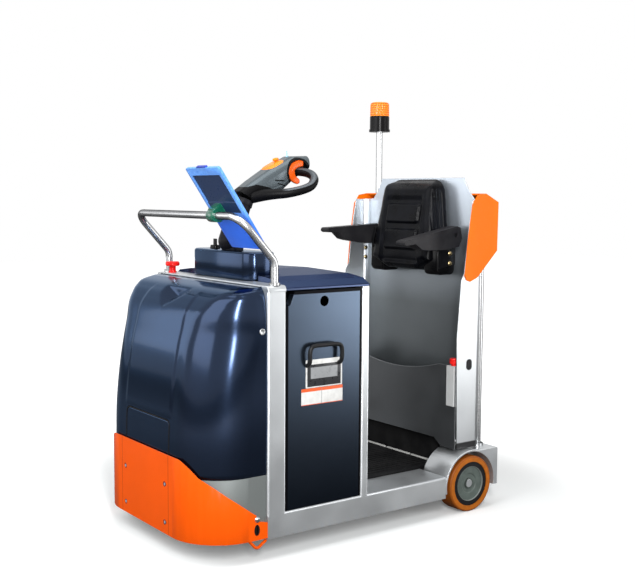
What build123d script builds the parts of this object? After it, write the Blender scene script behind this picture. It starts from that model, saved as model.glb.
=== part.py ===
"""Stand-on electric baggage tug: driving compartment and battery bay in front, a low step in the
middle, and a lean seat on a folded sheet backrest behind. The front wheel drives and steers; two
small wheels carry the rear. Millimetres, +X forward, +Y to the machine's left, +Z up, the origin
on the ground under the middle of the machine."""

import os
from math import atan2, cos, radians, sin, sqrt

from build123d import *

os.makedirs("parts", exist_ok=True)

# ---- overall --------
front_reach = 1160.0  # bumper face, ahead of the rear axle
rear_reach = 190.0  # end of the tow hitch, behind the rear axle
half_width = 374.0  # outer faces of the side frames
axle_x = (rear_reach - front_reach) / 2
SIDES = {"left": 1, "right": -1}
seat_clear = 0.3  # between a piece and what it stands on or hangs from
running_gap = 0.05  # round a shaft in its bore


def ahead(distance):
    """X of a place this far ahead of the rear axle."""
    return axle_x + distance


def side_plane(y):
    """Upright lengthwise plane at y: sketch x is X, sketch y is Z, extrusions run towards -Y."""
    return Plane(origin=(0, y, 0), x_dir=(1, 0, 0), z_dir=(0, -1, 0))


def cross_plane(distance):
    """Upright plane across the machine: sketch x is Y, sketch y is Z, extrusions run forward."""
    return Plane(origin=(ahead(distance), 0, 0), x_dir=(0, 1, 0), z_dir=(1, 0, 0))


# ---- side frames: folded sill, front post and battery post --------
sheet = 5.0
sill_bottom, sill_height = 70.0, 80.0
sill_top = sill_bottom + sill_height
sill_width = 144.0
step_half = half_width - sill_width  # the step lies between the two sills
sill_bend = 8.0
post_depth = 40.0  # how far a post reaches inwards from the outer face
post_bend = 7.0
post_top = 884.0
nose_length = 249.0  # from the front posts to the bumper's face
front_post_width, battery_post_width = 70.0, 32.0
battery_bay = 313.0  # clear length between the posts
front_post_front = front_reach - nose_length
front_post_rear = front_post_front - front_post_width
battery_post_front = front_post_rear - battery_bay
battery_post_rear = battery_post_front - battery_post_width
battery_post_drop = 12.0  # the battery post ends this far below the front post
battery_post_top = post_top - battery_post_drop
bridge_drop = 14.0  # the bridge's ends reach this far down onto the front posts
front_post_top = post_top - bridge_drop
wheel_radius = 105.0
wheel_width = 74.0
arch_clear = 16.0  # between tyre and arch
arch_skin = 7.0
arch_radius = wheel_radius + arch_clear
sill_rear = arch_radius + arch_skin

posts = (  # rear edge, front edge, top
    (front_post_rear, front_post_front, front_post_top),
    (battery_post_rear, battery_post_front, battery_post_top),
)

with BuildPart() as post_blanks:
    with BuildSketch(side_plane(half_width)):
        for rear, front, top in posts:
            with Locations(((ahead(rear) + ahead(front)) / 2, (sill_top - sill_bend + top) / 2)):
                Rectangle(front - rear, top - sill_top + sill_bend)
    extrude(amount=post_depth)
    fillet(post_blanks.edges().filter_by(Axis.Z).group_by(Axis.Y)[-1], post_bend)

with BuildPart() as side_frame_left:
    with BuildSketch(side_plane(half_width)):
        with Locations((ahead((sill_rear + front_post_front) / 2), (sill_bottom + sill_top) / 2)):
            Rectangle(front_post_front - sill_rear, sill_height)
    extrude(amount=sill_width)
    outer_top = side_frame_left.edges().filter_by(Axis.X).sort_by(Axis.Z)[-2:].sort_by(Axis.Y)[-1]
    fillet(outer_top, sill_bend)
    add(post_blanks.part)
    with BuildSketch(side_plane(half_width - sheet)):
        with Locations((ahead((sill_rear + front_post_front) / 2), sill_bottom)):
            Rectangle(front_post_front - sill_rear - 2 * sheet, 2 * (sill_height - sheet))
    extrude(amount=sill_width - 2 * sheet, mode=Mode.SUBTRACT)
    with BuildSketch(side_plane(half_width - sheet)):
        for rear, front, top in posts:
            with Locations(((ahead(rear) + ahead(front)) / 2, (sill_top + top - sheet) / 2)):
                Rectangle(front - rear - 2 * sheet, top - sill_top - sheet)
    extrude(amount=post_depth, mode=Mode.SUBTRACT)
side_frame_left.part.label = "side_frame_left"
export_step(side_frame_left.part, "parts/side_frame_left.step")

with BuildPart() as side_frame_right:
    mirror(side_frame_left.part, about=Plane.XZ)
side_frame_right.part.label = "side_frame_right"
export_step(side_frame_right.part, "parts/side_frame_right.step")

# ---- wheel boxes: arch and boxed end over each rear wheel --------
box_top = 227.0
box_bottom = 84.0
box_length = 140.0  # behind the axle
box_bend = 6.0
hub_clear = 12.0  # between the wheel's inner face and the box
box_width = 44.0  # the boxed part inside the arch
arch_inner = half_width - wheel_width - hub_clear
box_inner = arch_inner - box_width

with BuildPart() as wheel_box_left:
    with BuildSketch(side_plane(half_width)):
        with Locations((ahead(0), wheel_radius)):
            Circle(arch_radius + arch_skin)
        with Locations((ahead(-box_length / 2), (box_top + box_bottom) / 2)):
            Rectangle(box_length, box_top - box_bottom)
        with Locations((ahead(0), 0)):
            Rectangle(4 * arch_radius, 2 * box_bottom, mode=Mode.SUBTRACT)
    extrude(amount=half_width - box_inner)
    rear_edges = wheel_box_left.faces().sort_by(Axis.X)[0].edges()
    fillet(rear_edges.filter_by(Axis.Y).sort_by(Axis.Z)[-1], box_bend)
    with BuildSketch(side_plane(half_width)):
        with Locations((ahead(0), wheel_radius)):
            Circle(arch_radius)
    extrude(amount=half_width - arch_inner, mode=Mode.SUBTRACT)
    # the box is open below, with its skin one sheet thick
    with BuildSketch(side_plane(arch_inner - sheet)):
        with Locations((ahead(-box_length / 2), box_bottom)):
            Rectangle(box_length - 2 * sheet, 2 * (box_top - box_bottom - sheet))
    extrude(amount=box_width - 2 * sheet, mode=Mode.SUBTRACT)
wheel_box_left.part.label = "wheel_box_left"
export_step(wheel_box_left.part, "parts/wheel_box_left.step")

with BuildPart() as wheel_box_right:
    mirror(wheel_box_left.part, about=Plane.XZ)
wheel_box_right.part.label = "wheel_box_right"
export_step(wheel_box_right.part, "parts/wheel_box_right.step")

# ---- rear beam between the wheel boxes, with the axle stubs --------
beam_rear, beam_width = -100.0, 38.0
beam_front = beam_rear + beam_width
stub_radius = 15.0
stub_end_inset = 8.0  # the stub ends this far inside the wheel's face
axle_flange_radius, axle_flange = 32.0, 8.0

with BuildPart() as rear_beam:
    with BuildSketch(side_plane(box_inner)):
        with Locations((ahead((beam_rear + beam_front) / 2), (box_bottom + box_top) / 2)):
            Rectangle(beam_width, box_top - box_bottom)
    extrude(amount=2 * box_inner)
    with BuildSketch(side_plane(box_inner - sheet)):
        with Locations((ahead((beam_rear + beam_front) / 2), box_bottom)):
            Rectangle(beam_width - 2 * sheet, 2 * (box_top - box_bottom - sheet))
    extrude(amount=2 * (box_inner - sheet), mode=Mode.SUBTRACT)
rear_beam.part.label = "rear_beam"
export_step(rear_beam.part, "parts/rear_beam.step")

for side, sign in SIDES.items():
    with BuildPart() as axle_stub:
        with BuildSketch(side_plane(sign * arch_inner)):
            with Locations((ahead(0), wheel_radius)):
                Circle(stub_radius)
        extrude(amount=-sign * (half_width - stub_end_inset - arch_inner))
        with BuildSketch(side_plane(sign * arch_inner)):
            with Locations((ahead(0), wheel_radius)):
                Circle(axle_flange_radius)
        extrude(amount=-sign * axle_flange)
    axle_stub.part.label = f"axle_stub_{side}"
    export_step(axle_stub.part, f"parts/axle_stub_{side}.step")

# ---- rear wheels: solid tyre on a rim with a dished disc --------
tyre_inner_radius = 83.0
tyre_shoulder = 6.0
rim_lip = 3.0  # the rim lies this far inside the tyre's face
disc_radius, disc_step = 64.0, 5.0  # the disc lies a step deeper than the rim
disc_dish_radius, disc_dish = 38.0, 4.0
hub_nut_radius, hub_nut = 20.0, 5.0
wheel_inner_face = half_width - wheel_width
rim_face = half_width - rim_lip
disc_face = rim_face - disc_step
wheel_axis = Axis((ahead(0), 0, wheel_radius), (0, 1, 0))

for side, sign in SIDES.items():
    wheel_section = Plane(
        origin=(ahead(0), 0, wheel_radius), x_dir=(0, sign, 0), z_dir=(1, 0, 0)
    )
    with BuildPart() as rear_tyre:
        with BuildSketch(wheel_section):
            with Locations((half_width - wheel_width / 2, (wheel_radius + tyre_inner_radius) / 2)):
                Rectangle(wheel_width, wheel_radius - tyre_inner_radius)
        revolve(axis=wheel_axis)
        tyre_rims = rear_tyre.edges().filter_by(GeomType.CIRCLE).sort_by(SortBy.RADIUS)[-2:]
        fillet(tyre_rims, tyre_shoulder)
    rear_tyre.part.label = f"rear_tyre_{side}"
    export_step(rear_tyre.part, f"parts/rear_tyre_{side}.step")

    with BuildPart() as rear_hub:
        with BuildSketch(wheel_section):
            with BuildLine():
                Polyline(
                    (wheel_inner_face, stub_radius + running_gap),
                    (wheel_inner_face, tyre_inner_radius),
                    (rim_face, tyre_inner_radius),
                    (rim_face, disc_radius),
                    (disc_face, disc_radius),
                    (disc_face, disc_dish_radius),
                    (disc_face - disc_dish, disc_dish_radius - disc_dish),
                    (disc_face - disc_dish, hub_nut_radius),
                    (disc_face - disc_dish + hub_nut, hub_nut_radius),
                    (disc_face - disc_dish + hub_nut, stub_radius + running_gap),
                    close=True,
                )
            make_face()
        revolve(axis=wheel_axis)
    rear_hub.part.label = f"rear_hub_{side}"
    export_step(rear_hub.part, f"parts/rear_hub_{side}.step")

# ---- step between the sills --------
floor_thickness = 10.0
mat_rear = 44.0
mat_margin = 4.0
mat_base, mat_rib = 11.0, 3.0
mat_rib_pitch, mat_rib_width = 22.0, 12.0
mat_corner = 12.0
mat_front = battery_post_rear - mat_margin
mat_half = step_half - mat_margin

with BuildPart() as platform_floor:
    with BuildSketch(Plane.XY.offset(sill_top)):
        with Locations((ahead((sill_rear + front_post_rear) / 2), 0)):
            Rectangle(front_post_rear - sill_rear, 2 * step_half)
        with Locations((ahead((beam_front + sill_rear) / 2), 0)):
            Rectangle(sill_rear - beam_front, 2 * box_inner)
    extrude(amount=-floor_thickness)
platform_floor.part.label = "platform_floor"
export_step(platform_floor.part, "parts/platform_floor.step")

rib_count = int((2 * mat_half - 2 * mat_corner) / mat_rib_pitch)
with BuildPart() as platform_mat:
    with BuildSketch(Plane.XY.offset(sill_top)):
        with Locations((ahead((mat_rear + mat_front) / 2), 0)):
            RectangleRounded(mat_front - mat_rear, 2 * mat_half, mat_corner)
    extrude(amount=mat_base)
    with BuildSketch(Plane.XY.offset(sill_top + mat_base)):
        with Locations((ahead((mat_rear + mat_front) / 2), 0)):
            with GridLocations(0, mat_rib_pitch, 1, rib_count):
                Rectangle(mat_front - mat_rear - 2 * mat_corner, mat_rib_width)
    extrude(amount=mat_rib)
platform_mat.part.label = "platform_mat"
export_step(platform_mat.part, "parts/platform_mat.step")

# ---- tow hitch: stepped jaw with a drop pin on the rear beam --------
jaw_half = 45.0
jaw_plate = 14.0
jaw_bottom, jaw_top = 100.0, 200.0
jaw_shelf = (jaw_bottom + jaw_top - jaw_plate) / 2  # underside of the middle plate
jaw_back = 24.0  # solid root between the beam and the jaws
jaw_flange, jaw_flange_lip = 12.0, 8.0
jaw_round = 30.0
pin_radius = 10.0
pin_reach = 38.0  # pin axis, ahead of the jaw's rear end
pin_gap = 0.3
pin_below, pin_above = 6.0, 46.0
pin_collar_radius, pin_collar = 16.0, 8.0
pin_bar_radius, pin_bar = 8.0, 60.0
jaw_mouths = (  # underside of the plate above, top of the plate below
    (jaw_top - jaw_plate, jaw_shelf + jaw_plate),
    (jaw_shelf, jaw_bottom + jaw_plate),
)

with BuildPart() as tow_hitch:
    with BuildSketch(side_plane(jaw_half)):
        with Locations((ahead((beam_rear - rear_reach) / 2), (jaw_bottom + jaw_top) / 2)):
            Rectangle(beam_rear + rear_reach, jaw_top - jaw_bottom)
    extrude(amount=2 * jaw_half)
    fillet(tow_hitch.edges().filter_by(Axis.Z).group_by(Axis.X)[0], jaw_round)
    with BuildSketch(side_plane(jaw_half)):
        with Locations((ahead(beam_rear - jaw_flange / 2), (jaw_bottom + jaw_top) / 2)):
            Rectangle(jaw_flange, jaw_top - jaw_bottom + 2 * jaw_flange_lip)
    extrude(amount=2 * jaw_half)
    with BuildSketch(side_plane(jaw_half)):
        for upper, lower in jaw_mouths:
            with Locations((ahead(-rear_reach), (upper + lower) / 2)):
                Rectangle(2 * (rear_reach + beam_rear - jaw_back), upper - lower)
    extrude(amount=2 * jaw_half, mode=Mode.SUBTRACT)
    with BuildSketch(Plane.XY.offset(jaw_bottom)):
        with Locations((ahead(pin_reach - rear_reach), 0)):
            Circle(pin_radius + pin_gap)
    extrude(amount=jaw_top - jaw_bottom, mode=Mode.SUBTRACT)
tow_hitch.part.label = "tow_hitch"
export_step(tow_hitch.part, "parts/tow_hitch.step")

with BuildPart() as tow_pin:
    with BuildSketch(Plane.XY.offset(jaw_bottom - pin_below)):
        with Locations((ahead(pin_reach - rear_reach), 0)):
            Circle(pin_radius)
    extrude(amount=jaw_top - jaw_bottom + pin_below + pin_above)
    with BuildSketch(Plane.XY.offset(jaw_top)):
        with Locations((ahead(pin_reach - rear_reach), 0)):
            Circle(pin_collar_radius)
    extrude(amount=pin_collar)
    with Locations((ahead(pin_reach - rear_reach), 0, jaw_top + pin_above)):
        Cylinder(pin_bar_radius, pin_bar, rotation=(90, 0, 0))
tow_pin.part.label = "tow_pin"
export_step(tow_pin.part, "parts/tow_pin.step")

# ---- backrest: one folded sheet, a panel behind the seat and a wing on each side --------
wing_inset = 27.0  # the wings stand this far inside the side frames
wing_half = half_width - wing_inset
panel_rear = -70.0
backrest_sheet = 4.0
panel_front = panel_rear + backrest_sheet
backrest_bend = 28.0
backrest_clear = 9.0  # above the wheel boxes
backrest_bottom = box_top + backrest_clear
backrest_height = 1011.0
panel_top = backrest_bottom + backrest_height
wing_drop = 85.0  # the wings end this far below the panel
panel_top_inset = 102.0  # half width lost between the wings and the panel's top
wing_front_reach = 90.0
wing_edge = (  # ahead of the axle, height above the sheet's lower edge
    (50, -1),
    (58, 313),
    (60, 415),
    (42, 632),
    (27, 659),
    (4, 847),
    (-8, 914),
    (-20, backrest_height + 1),
)
shoulder = (  # outwards from the panel's top corner, above the wing's top
    (0, wing_drop + 1),
    (0, wing_drop - 12),
    (22, 36),
    (52, 4),
    (panel_top_inset + 10, 0),
    (panel_top_inset + 10, wing_drop + 1),
)

with BuildPart() as backrest_shell:
    with BuildSketch(Plane.XY.offset(backrest_bottom)):
        with BuildLine():
            FilletPolyline(
                (ahead(wing_front_reach), wing_half),
                (ahead(panel_rear), wing_half),
                (ahead(panel_rear), -wing_half),
                (ahead(wing_front_reach), -wing_half),
                radius=backrest_bend,
            )
            offset(amount=backrest_sheet, side=Side.LEFT, closed=True)
        make_face()
    extrude(amount=backrest_height)
    # the wings' front edge steps forward below the seat
    with BuildSketch(side_plane(half_width)):
        with BuildLine():
            Polyline(
                *[(ahead(d), backrest_bottom + rise) for d, rise in wing_edge],
                (ahead(2 * wing_front_reach), panel_top + 1),
                (ahead(2 * wing_front_reach), backrest_bottom - 1),
                close=True,
            )
        make_face()
    extrude(amount=2 * half_width, mode=Mode.SUBTRACT)
    # shoulders: the panel's top drops to the wings in a hollow curve
    with BuildSketch(cross_plane(2 * panel_rear)):
        for sign in SIDES.values():
            with BuildLine():
                Polyline(
                    *[
                        (sign * (wing_half - panel_top_inset + out), panel_top - wing_drop + rise)
                        for out, rise in shoulder
                    ],
                    close=True,
                )
            make_face()
    extrude(amount=-4 * panel_rear, mode=Mode.SUBTRACT)
backrest_shell.part.label = "backrest_shell"
export_step(backrest_shell.part, "parts/backrest_shell.step")

# ---- pocket between the wings: front sheet with a sagging lip, and shelf --------
pocket_front_x = 59.0
pocket_sheet = 3.0
pocket_half = wing_half - seat_clear
pocket_foot_bottom, pocket_bottom = 2.0, 29.0  # above the backrest's lower edge
pocket_foot, pocket_foot_slope = 76.0, 37.0
pocket_lip, pocket_sag = 314.0, 38.0
pocket_lip_flat = 91.0  # level part of the lip next to each wing
jog_box_width, jog_box_height, jog_box_depth = 42.0, 150.0, 40.0
jog_clear = 0.3
jog_outer = pocket_half - backrest_sheet - 1
jog_inner = jog_outer - jog_box_width
jog_top = backrest_bottom + pocket_lip - 1
lip_z = backrest_bottom + pocket_lip
foot_z = backrest_bottom + pocket_foot_bottom
shelf_z = backrest_bottom + pocket_bottom
lip_half = pocket_half - pocket_lip_flat

with BuildPart() as pocket_front:
    with BuildSketch(cross_plane(pocket_front_x)):
        with BuildLine():
            lip = ThreePointArc((lip_half, lip_z), (0, lip_z - pocket_sag), (-lip_half, lip_z))
            Polyline(
                lip @ 1,
                (-pocket_half, lip_z),
                (-pocket_half, foot_z),
                (-(pocket_half - pocket_foot), foot_z),
                (-(pocket_half - pocket_foot - pocket_foot_slope), shelf_z),
                (pocket_half - pocket_foot - pocket_foot_slope, shelf_z),
                (pocket_half - pocket_foot, foot_z),
                (pocket_half, foot_z),
                (pocket_half, lip_z),
                lip @ 0,
            )
        make_face()
        with Locations(((jog_inner + jog_outer) / 2, jog_top - jog_box_height / 2)):
            Rectangle(
                jog_box_width + 2 * jog_clear,
                jog_box_height + 2 * jog_clear,
                mode=Mode.SUBTRACT,
            )
        with Locations(((jog_inner + jog_outer) / 2, lip_z)):
            Rectangle(jog_box_width + 2 * jog_clear, jog_box_height / 2, mode=Mode.SUBTRACT)
    extrude(amount=pocket_sheet)
    with BuildSketch(Plane.XY.offset(shelf_z)):
        with Locations((ahead((pocket_front_x + panel_front) / 2), 0)):
            Rectangle(pocket_front_x - panel_front, 2 * (wing_half - backrest_bend - 2))
    extrude(amount=pocket_sheet)
pocket_front.part.label = "pocket_front"
export_step(pocket_front.part, "parts/pocket_front.step")

# ---- jog switch box in the pocket's left corner, with its red button --------
jog_proud = 4.0  # the box stands this far out of the pocket's front
jog_bend = 3.0
jog_stem_radius, jog_stem = 11.0, 8.0
jog_cap_radius, jog_cap, jog_cap_round = 17.0, 20.0, 5.0
jog_front = pocket_front_x + pocket_sheet + jog_proud
jog_x = jog_front - jog_box_depth / 2

with BuildPart() as jog_box:
    with BuildSketch(side_plane(jog_outer)):
        with Locations((ahead(jog_x), jog_top - jog_box_height / 2)):
            Rectangle(jog_box_depth, jog_box_height)
    extrude(amount=jog_box_width)
    fillet(jog_box.edges().filter_by(Axis.Z), jog_bend)
jog_box.part.label = "jog_box"
export_step(jog_box.part, "parts/jog_box.step")

with BuildPart() as jog_button:
    with BuildSketch(Plane.XY.offset(jog_top)):
        with Locations((ahead(jog_x), (jog_inner + jog_outer) / 2)):
            Circle(jog_stem_radius)
    extrude(amount=jog_stem)
    with BuildSketch(Plane.XY.offset(jog_top + jog_stem)):
        with Locations((ahead(jog_x), (jog_inner + jog_outer) / 2)):
            Circle(jog_cap_radius)
    extrude(amount=jog_cap)
    fillet(jog_button.faces().sort_by(Axis.Z)[-1].edges(), jog_cap_round)
jog_button.part.label = "jog_button"
export_step(jog_button.part, "parts/jog_button.step")

# ---- moulded cover on the backrest's rear: side cheeks, top, back and sloping underside --------
cover_clear = 0.3
cover_wall = 4.5
cover_bend = 4.0
cover_half = wing_half + cover_clear + cover_wall
cover_edge = (  # front edge of the cheek: ahead of the axle, below the panel's top
    (-5, 101),
    (13, 219),
    (28, 361),
    (18, 379),
    (1, 385),
    (-35, 371),
)
cover_back = ((-136, 274), (-139, 92))  # foot and head of the back wall
cover_crest = ((-72, 60), (-30, 67))
cover_slope_drop = 57.0  # fall of the inner underside from the back wall to the panel
pole_x = -100.0
pole_inset = 43.0  # poles inside the wings
pole_y = wing_half - pole_inset
pole_radius = 13.0
pole_hole = 14.0

with BuildPart() as rear_cover:
    with BuildSketch(side_plane(cover_half)):
        with BuildLine():
            Polyline(
                *[(ahead(d), panel_top - drop) for d, drop in cover_edge + cover_back + cover_crest],
                close=True,
            )
        make_face()
    extrude(amount=2 * cover_half)
    fillet(rear_cover.edges().filter_by(Axis.Y).sort_by(Axis.X)[:2], cover_bend)
    # hollow between the cheeks: only a wall is left on the back, underside and top
    (foot_x, foot_drop), (head_x, head_drop) = cover_back
    with BuildSketch(side_plane(cover_half - cover_wall)):
        with BuildLine():
            Polyline(
                (ahead(2 * wing_front_reach), panel_top - 2 * cover_edge[3][1]),
                (ahead(panel_rear - cover_clear), panel_top - 2 * cover_edge[3][1]),
                (ahead(panel_rear - cover_clear), panel_top - foot_drop - cover_slope_drop),
                (ahead(foot_x + cover_wall), panel_top - foot_drop + 2),
                (ahead(head_x + cover_wall), panel_top - head_drop - 3),
                (ahead(panel_rear - cover_clear), panel_top - cover_crest[0][1] - cover_wall),
                (ahead(panel_rear - cover_clear), panel_top + cover_wall),
                (ahead(2 * wing_front_reach), panel_top + cover_wall),
                close=True,
            )
        make_face()
    extrude(amount=2 * (cover_half - cover_wall), mode=Mode.SUBTRACT)
    # the poles pass through the underside, and the right one through the top
    with BuildSketch(Plane.XY.offset(box_top)):
        with Locations((ahead(pole_x), pole_y), (ahead(pole_x), -pole_y)):
            Circle(pole_hole)
    extrude(amount=(backrest_bottom + panel_top) / 2 + head_drop, mode=Mode.SUBTRACT)
    with BuildSketch(Plane.XY.offset(panel_top)):
        with Locations((ahead(pole_x), -pole_y)):
            Circle(pole_hole)
    extrude(amount=-2 * head_drop, mode=Mode.SUBTRACT)
rear_cover.part.label = "rear_cover"
export_step(rear_cover.part, "parts/rear_cover.step")

# ---- rear poles; the right one goes on up to the beacon --------
pole_wall = 2.0
support_pole_drop, beacon_pole_rise = 97.0, 196.0  # from the panel's top
support_pole_top = panel_top - support_pole_drop
beacon_pole_top = panel_top + beacon_pole_rise
pole_socket_radius, pole_socket = 22.0, 9.0

poles = (("support_pole", pole_y, support_pole_top), ("beacon_pole", -pole_y, beacon_pole_top))
for name, y, top in poles:
    with BuildPart() as pole:
        with BuildSketch(Plane.XY.offset(box_top)):
            with Locations((ahead(pole_x), y)):
                Circle(pole_radius)
                Circle(pole_radius - pole_wall, mode=Mode.SUBTRACT)
        extrude(amount=top - box_top)
        with BuildSketch(Plane.XY.offset(box_top)):
            with Locations((ahead(pole_x), y)):
                Circle(pole_socket_radius)
                Circle(pole_radius, mode=Mode.SUBTRACT)
        extrude(amount=pole_socket)
    pole.part.label = name
    export_step(pole.part, f"parts/{name}.step")

# ---- beacon on its pole --------
beacon_radius = 41.0
beacon_plate, beacon_plate_lip = 10.0, 3.0
beacon_base_height, beacon_base_round = 55.0, 4.0
beacon_lens_height, beacon_lens_round = 58.0, 7.0
beacon_lens_inset, beacon_lens_taper = 1.0, 1.5

with BuildPart() as beacon_base:
    with BuildSketch(Plane.XY.offset(beacon_pole_top)):
        with Locations((ahead(pole_x), -pole_y)):
            Circle(beacon_radius + beacon_plate_lip)
    extrude(amount=beacon_plate)
    with BuildSketch(Plane.XY.offset(beacon_pole_top + beacon_plate)):
        with Locations((ahead(pole_x), -pole_y)):
            Circle(beacon_radius)
    extrude(amount=beacon_base_height)
    fillet(beacon_base.faces().sort_by(Axis.Z)[-1].edges(), beacon_base_round)
beacon_base.part.label = "beacon_base"
export_step(beacon_base.part, "parts/beacon_base.step")

lens_bottom = beacon_pole_top + beacon_plate + beacon_base_height
with BuildPart() as beacon_lens:
    with BuildSketch(Plane.XY.offset(lens_bottom)):
        with Locations((ahead(pole_x), -pole_y)):
            Circle(beacon_radius - beacon_lens_inset)
    extrude(amount=beacon_lens_height, taper=beacon_lens_taper)
    fillet(beacon_lens.faces().sort_by(Axis.Z)[-1].edges(), beacon_lens_round)
beacon_lens.part.label = "beacon_lens"
export_step(beacon_lens.part, "parts/beacon_lens.step")

# ---- lean seat: bracket, pad, and two arms that fold up --------
seat_base_depth = 14.0
seat_base_half, seat_base_corner = 120.0, 20.0
seat_base_top_drop, seat_base_height = 57.0, 285.0
seat_base_top = panel_top - seat_base_top_drop
seat_base_bottom = seat_base_top - seat_base_height
seat_top_drop, seat_height = 6.0, 356.0
seat_top = panel_top - seat_top_drop
seat_bottom = seat_top - seat_height
seat_half = 178.0
seat_top_inset, seat_foot_inset = 26.0, 86.0  # the pad narrows towards its top and foot
seat_widest_low, seat_widest_high = seat_bottom + 40.0, seat_bottom + 115.0
seat_section = (  # ahead of the axle, above the pad's foot
    (56, -1),
    (60, 45),
    (46, 175),
    (20, 325),
    (8, 351),
    (-2, seat_height + 1),
)

with BuildPart() as seat_base:
    with BuildSketch(cross_plane(panel_front)):
        with Locations((0, (seat_base_bottom + seat_base_top) / 2)):
            RectangleRounded(2 * seat_base_half, seat_base_top - seat_base_bottom, seat_base_corner)
    extrude(amount=seat_base_depth)
seat_base.part.label = "seat_base"
export_step(seat_base.part, "parts/seat_base.step")

seat_back = panel_front + seat_base_depth + seat_clear
with BuildPart() as seat_pad:
    with BuildSketch(cross_plane(seat_back)):
        with BuildLine():
            FilletPolyline(
                (seat_half - seat_foot_inset, seat_bottom),
                (seat_half, seat_widest_low),
                (seat_half, seat_widest_high),
                (seat_half - seat_top_inset, seat_top),
                (seat_top_inset - seat_half, seat_top),
                (-seat_half, seat_widest_high),
                (-seat_half, seat_widest_low),
                (seat_foot_inset - seat_half, seat_bottom),
                radius=(30, 18, 60, 55, 55, 60, 18, 30),
                close=True,
            )
        make_face()
    extrude(amount=2 * wing_front_reach)
    with BuildSketch(side_plane(2 * seat_half)):
        with BuildLine():
            Polyline(
                (ahead(seat_back - 1), seat_bottom - 1),
                *[(ahead(d), seat_bottom + rise) for d, rise in seat_section],
                (ahead(seat_back - 1), seat_top + 1),
                close=True,
            )
        make_face()
    extrude(amount=4 * seat_half, mode=Mode.INTERSECT)
seat_pad.part.label = "seat_pad"
export_step(seat_pad.part, "parts/seat_pad.step")

arm_pivot_x, arm_pivot_drop = -15.0, 217.0
arm_pivot_z = panel_top - arm_pivot_drop
bracket_gap = 8.0
bracket_y = seat_half + bracket_gap  # inner face of the arm bracket
bracket_thickness = 14.0
bracket_outline = (  # ahead of the axle, above the arm's pivot
    (panel_front, -115),
    (20, -130),
    (22, -25),
    (arm_pivot_x + 22, 22),
    (arm_pivot_x - 22, 22),
    (panel_front, -20),
)
bracket_flange, bracket_flange_width, bracket_flange_height = 6.0, 40.0, 90.0
bracket_flange_drop = 70.0  # middle of the flange below the pivot
arm_gap = 6.0
arm_y = bracket_y + bracket_thickness + arm_gap
arm_width = 50.0
arm_bolt_radius = 9.0
arm_bolt_inset = 6.0  # the bolt ends inside the arm's outer face
arm_tilts = {"left": -11.0, "right": -3.0}  # rest angle, tip down
arm_profile = (  # along the arm from its pivot, above it
    (-28, 24),
    (-14, 32),
    (249, 32),
    (255, 27),
    (256, 18),
    (248, 13),
    (204, 9),
    (176, -18),
    (150, -26),
    (54, -45),
    (-8, -45),
    (-30, -20),
)

for side, sign in SIDES.items():
    with BuildPart() as arm_bracket:
        with BuildSketch(side_plane(sign * bracket_y)):
            with BuildLine():
                Polyline(*[(ahead(d), arm_pivot_z + z) for d, z in bracket_outline], close=True)
            make_face()
        extrude(amount=-sign * bracket_thickness)
        with BuildSketch(side_plane(sign * (bracket_y + bracket_thickness))):
            with Locations((ahead(arm_pivot_x), arm_pivot_z)):
                Circle(arm_bolt_radius)
        extrude(amount=-sign * (arm_y + arm_width - arm_bolt_inset - bracket_y - bracket_thickness))
        with BuildSketch(cross_plane(panel_front)):
            with Locations((sign * (bracket_y - bracket_thickness / 2), arm_pivot_z - bracket_flange_drop)):
                Rectangle(bracket_flange_width, bracket_flange_height)
        extrude(amount=bracket_flange)
    arm_bracket.part.label = f"arm_bracket_{side}"
    export_step(arm_bracket.part, f"parts/arm_bracket_{side}.step")

    tilt = radians(arm_tilts[side])
    with BuildPart() as seat_arm:
        with BuildSketch(side_plane(sign * arm_y)):
            with BuildLine():
                Polyline(
                    *[
                        (
                            ahead(arm_pivot_x + along * cos(tilt) - above * sin(tilt)),
                            arm_pivot_z + along * sin(tilt) + above * cos(tilt),
                        )
                        for along, above in arm_profile
                    ],
                    close=True,
                )
            make_face()
        extrude(amount=-sign * arm_width)
        with BuildSketch(side_plane(sign * arm_y)):
            with Locations((ahead(arm_pivot_x), arm_pivot_z)):
                Circle(arm_bolt_radius + running_gap)
        extrude(amount=-sign * arm_width, mode=Mode.SUBTRACT)
    seat_arm.part.label = f"seat_arm_{side}"
    export_step(seat_arm.part, f"parts/seat_arm_{side}.step")

# ---- top bridge: folded plate across the front posts, with rounded ends --------
bridge_thickness = 6.0
bridge_round = 15.0
bridge_top = post_top + bridge_thickness
bridge_end = half_width - post_depth  # the thick ends begin here

with BuildPart() as top_bridge:
    with BuildSketch(cross_plane(front_post_rear)):
        with BuildLine():
            Polyline(
                (half_width, front_post_top),
                (half_width, bridge_top),
                (-half_width, bridge_top),
                (-half_width, front_post_top),
                (-bridge_end, front_post_top),
                (-bridge_end, post_top),
                (bridge_end, post_top),
                (bridge_end, front_post_top),
                close=True,
            )
        make_face()
    extrude(amount=front_post_width)
    fillet(top_bridge.faces().sort_by(Axis.Z)[-1].edges().filter_by(Axis.X), bridge_round)
top_bridge.part.label = "top_bridge"
export_step(top_bridge.part, "parts/top_bridge.step")

# ---- grab rail: one bent tube that leans forward over the hood --------
rail_radius = 12.5
rail_foot_ahead, rail_inset = 31.0, 22.0
rail_knee_rise, rail_rise, rail_reach = 75.0, 220.0, 134.0
rail_foot_x = front_post_rear + rail_foot_ahead
rail_y = half_width - rail_inset
rail_knee_z = bridge_top + rail_knee_rise
rail_top_x = rail_foot_x + rail_reach
rail_top_z = bridge_top + rail_rise
rail_bend, rail_corner = 45.0, 60.0
rail_foot_radius, rail_foot_height = 18.0, 8.0

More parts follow.
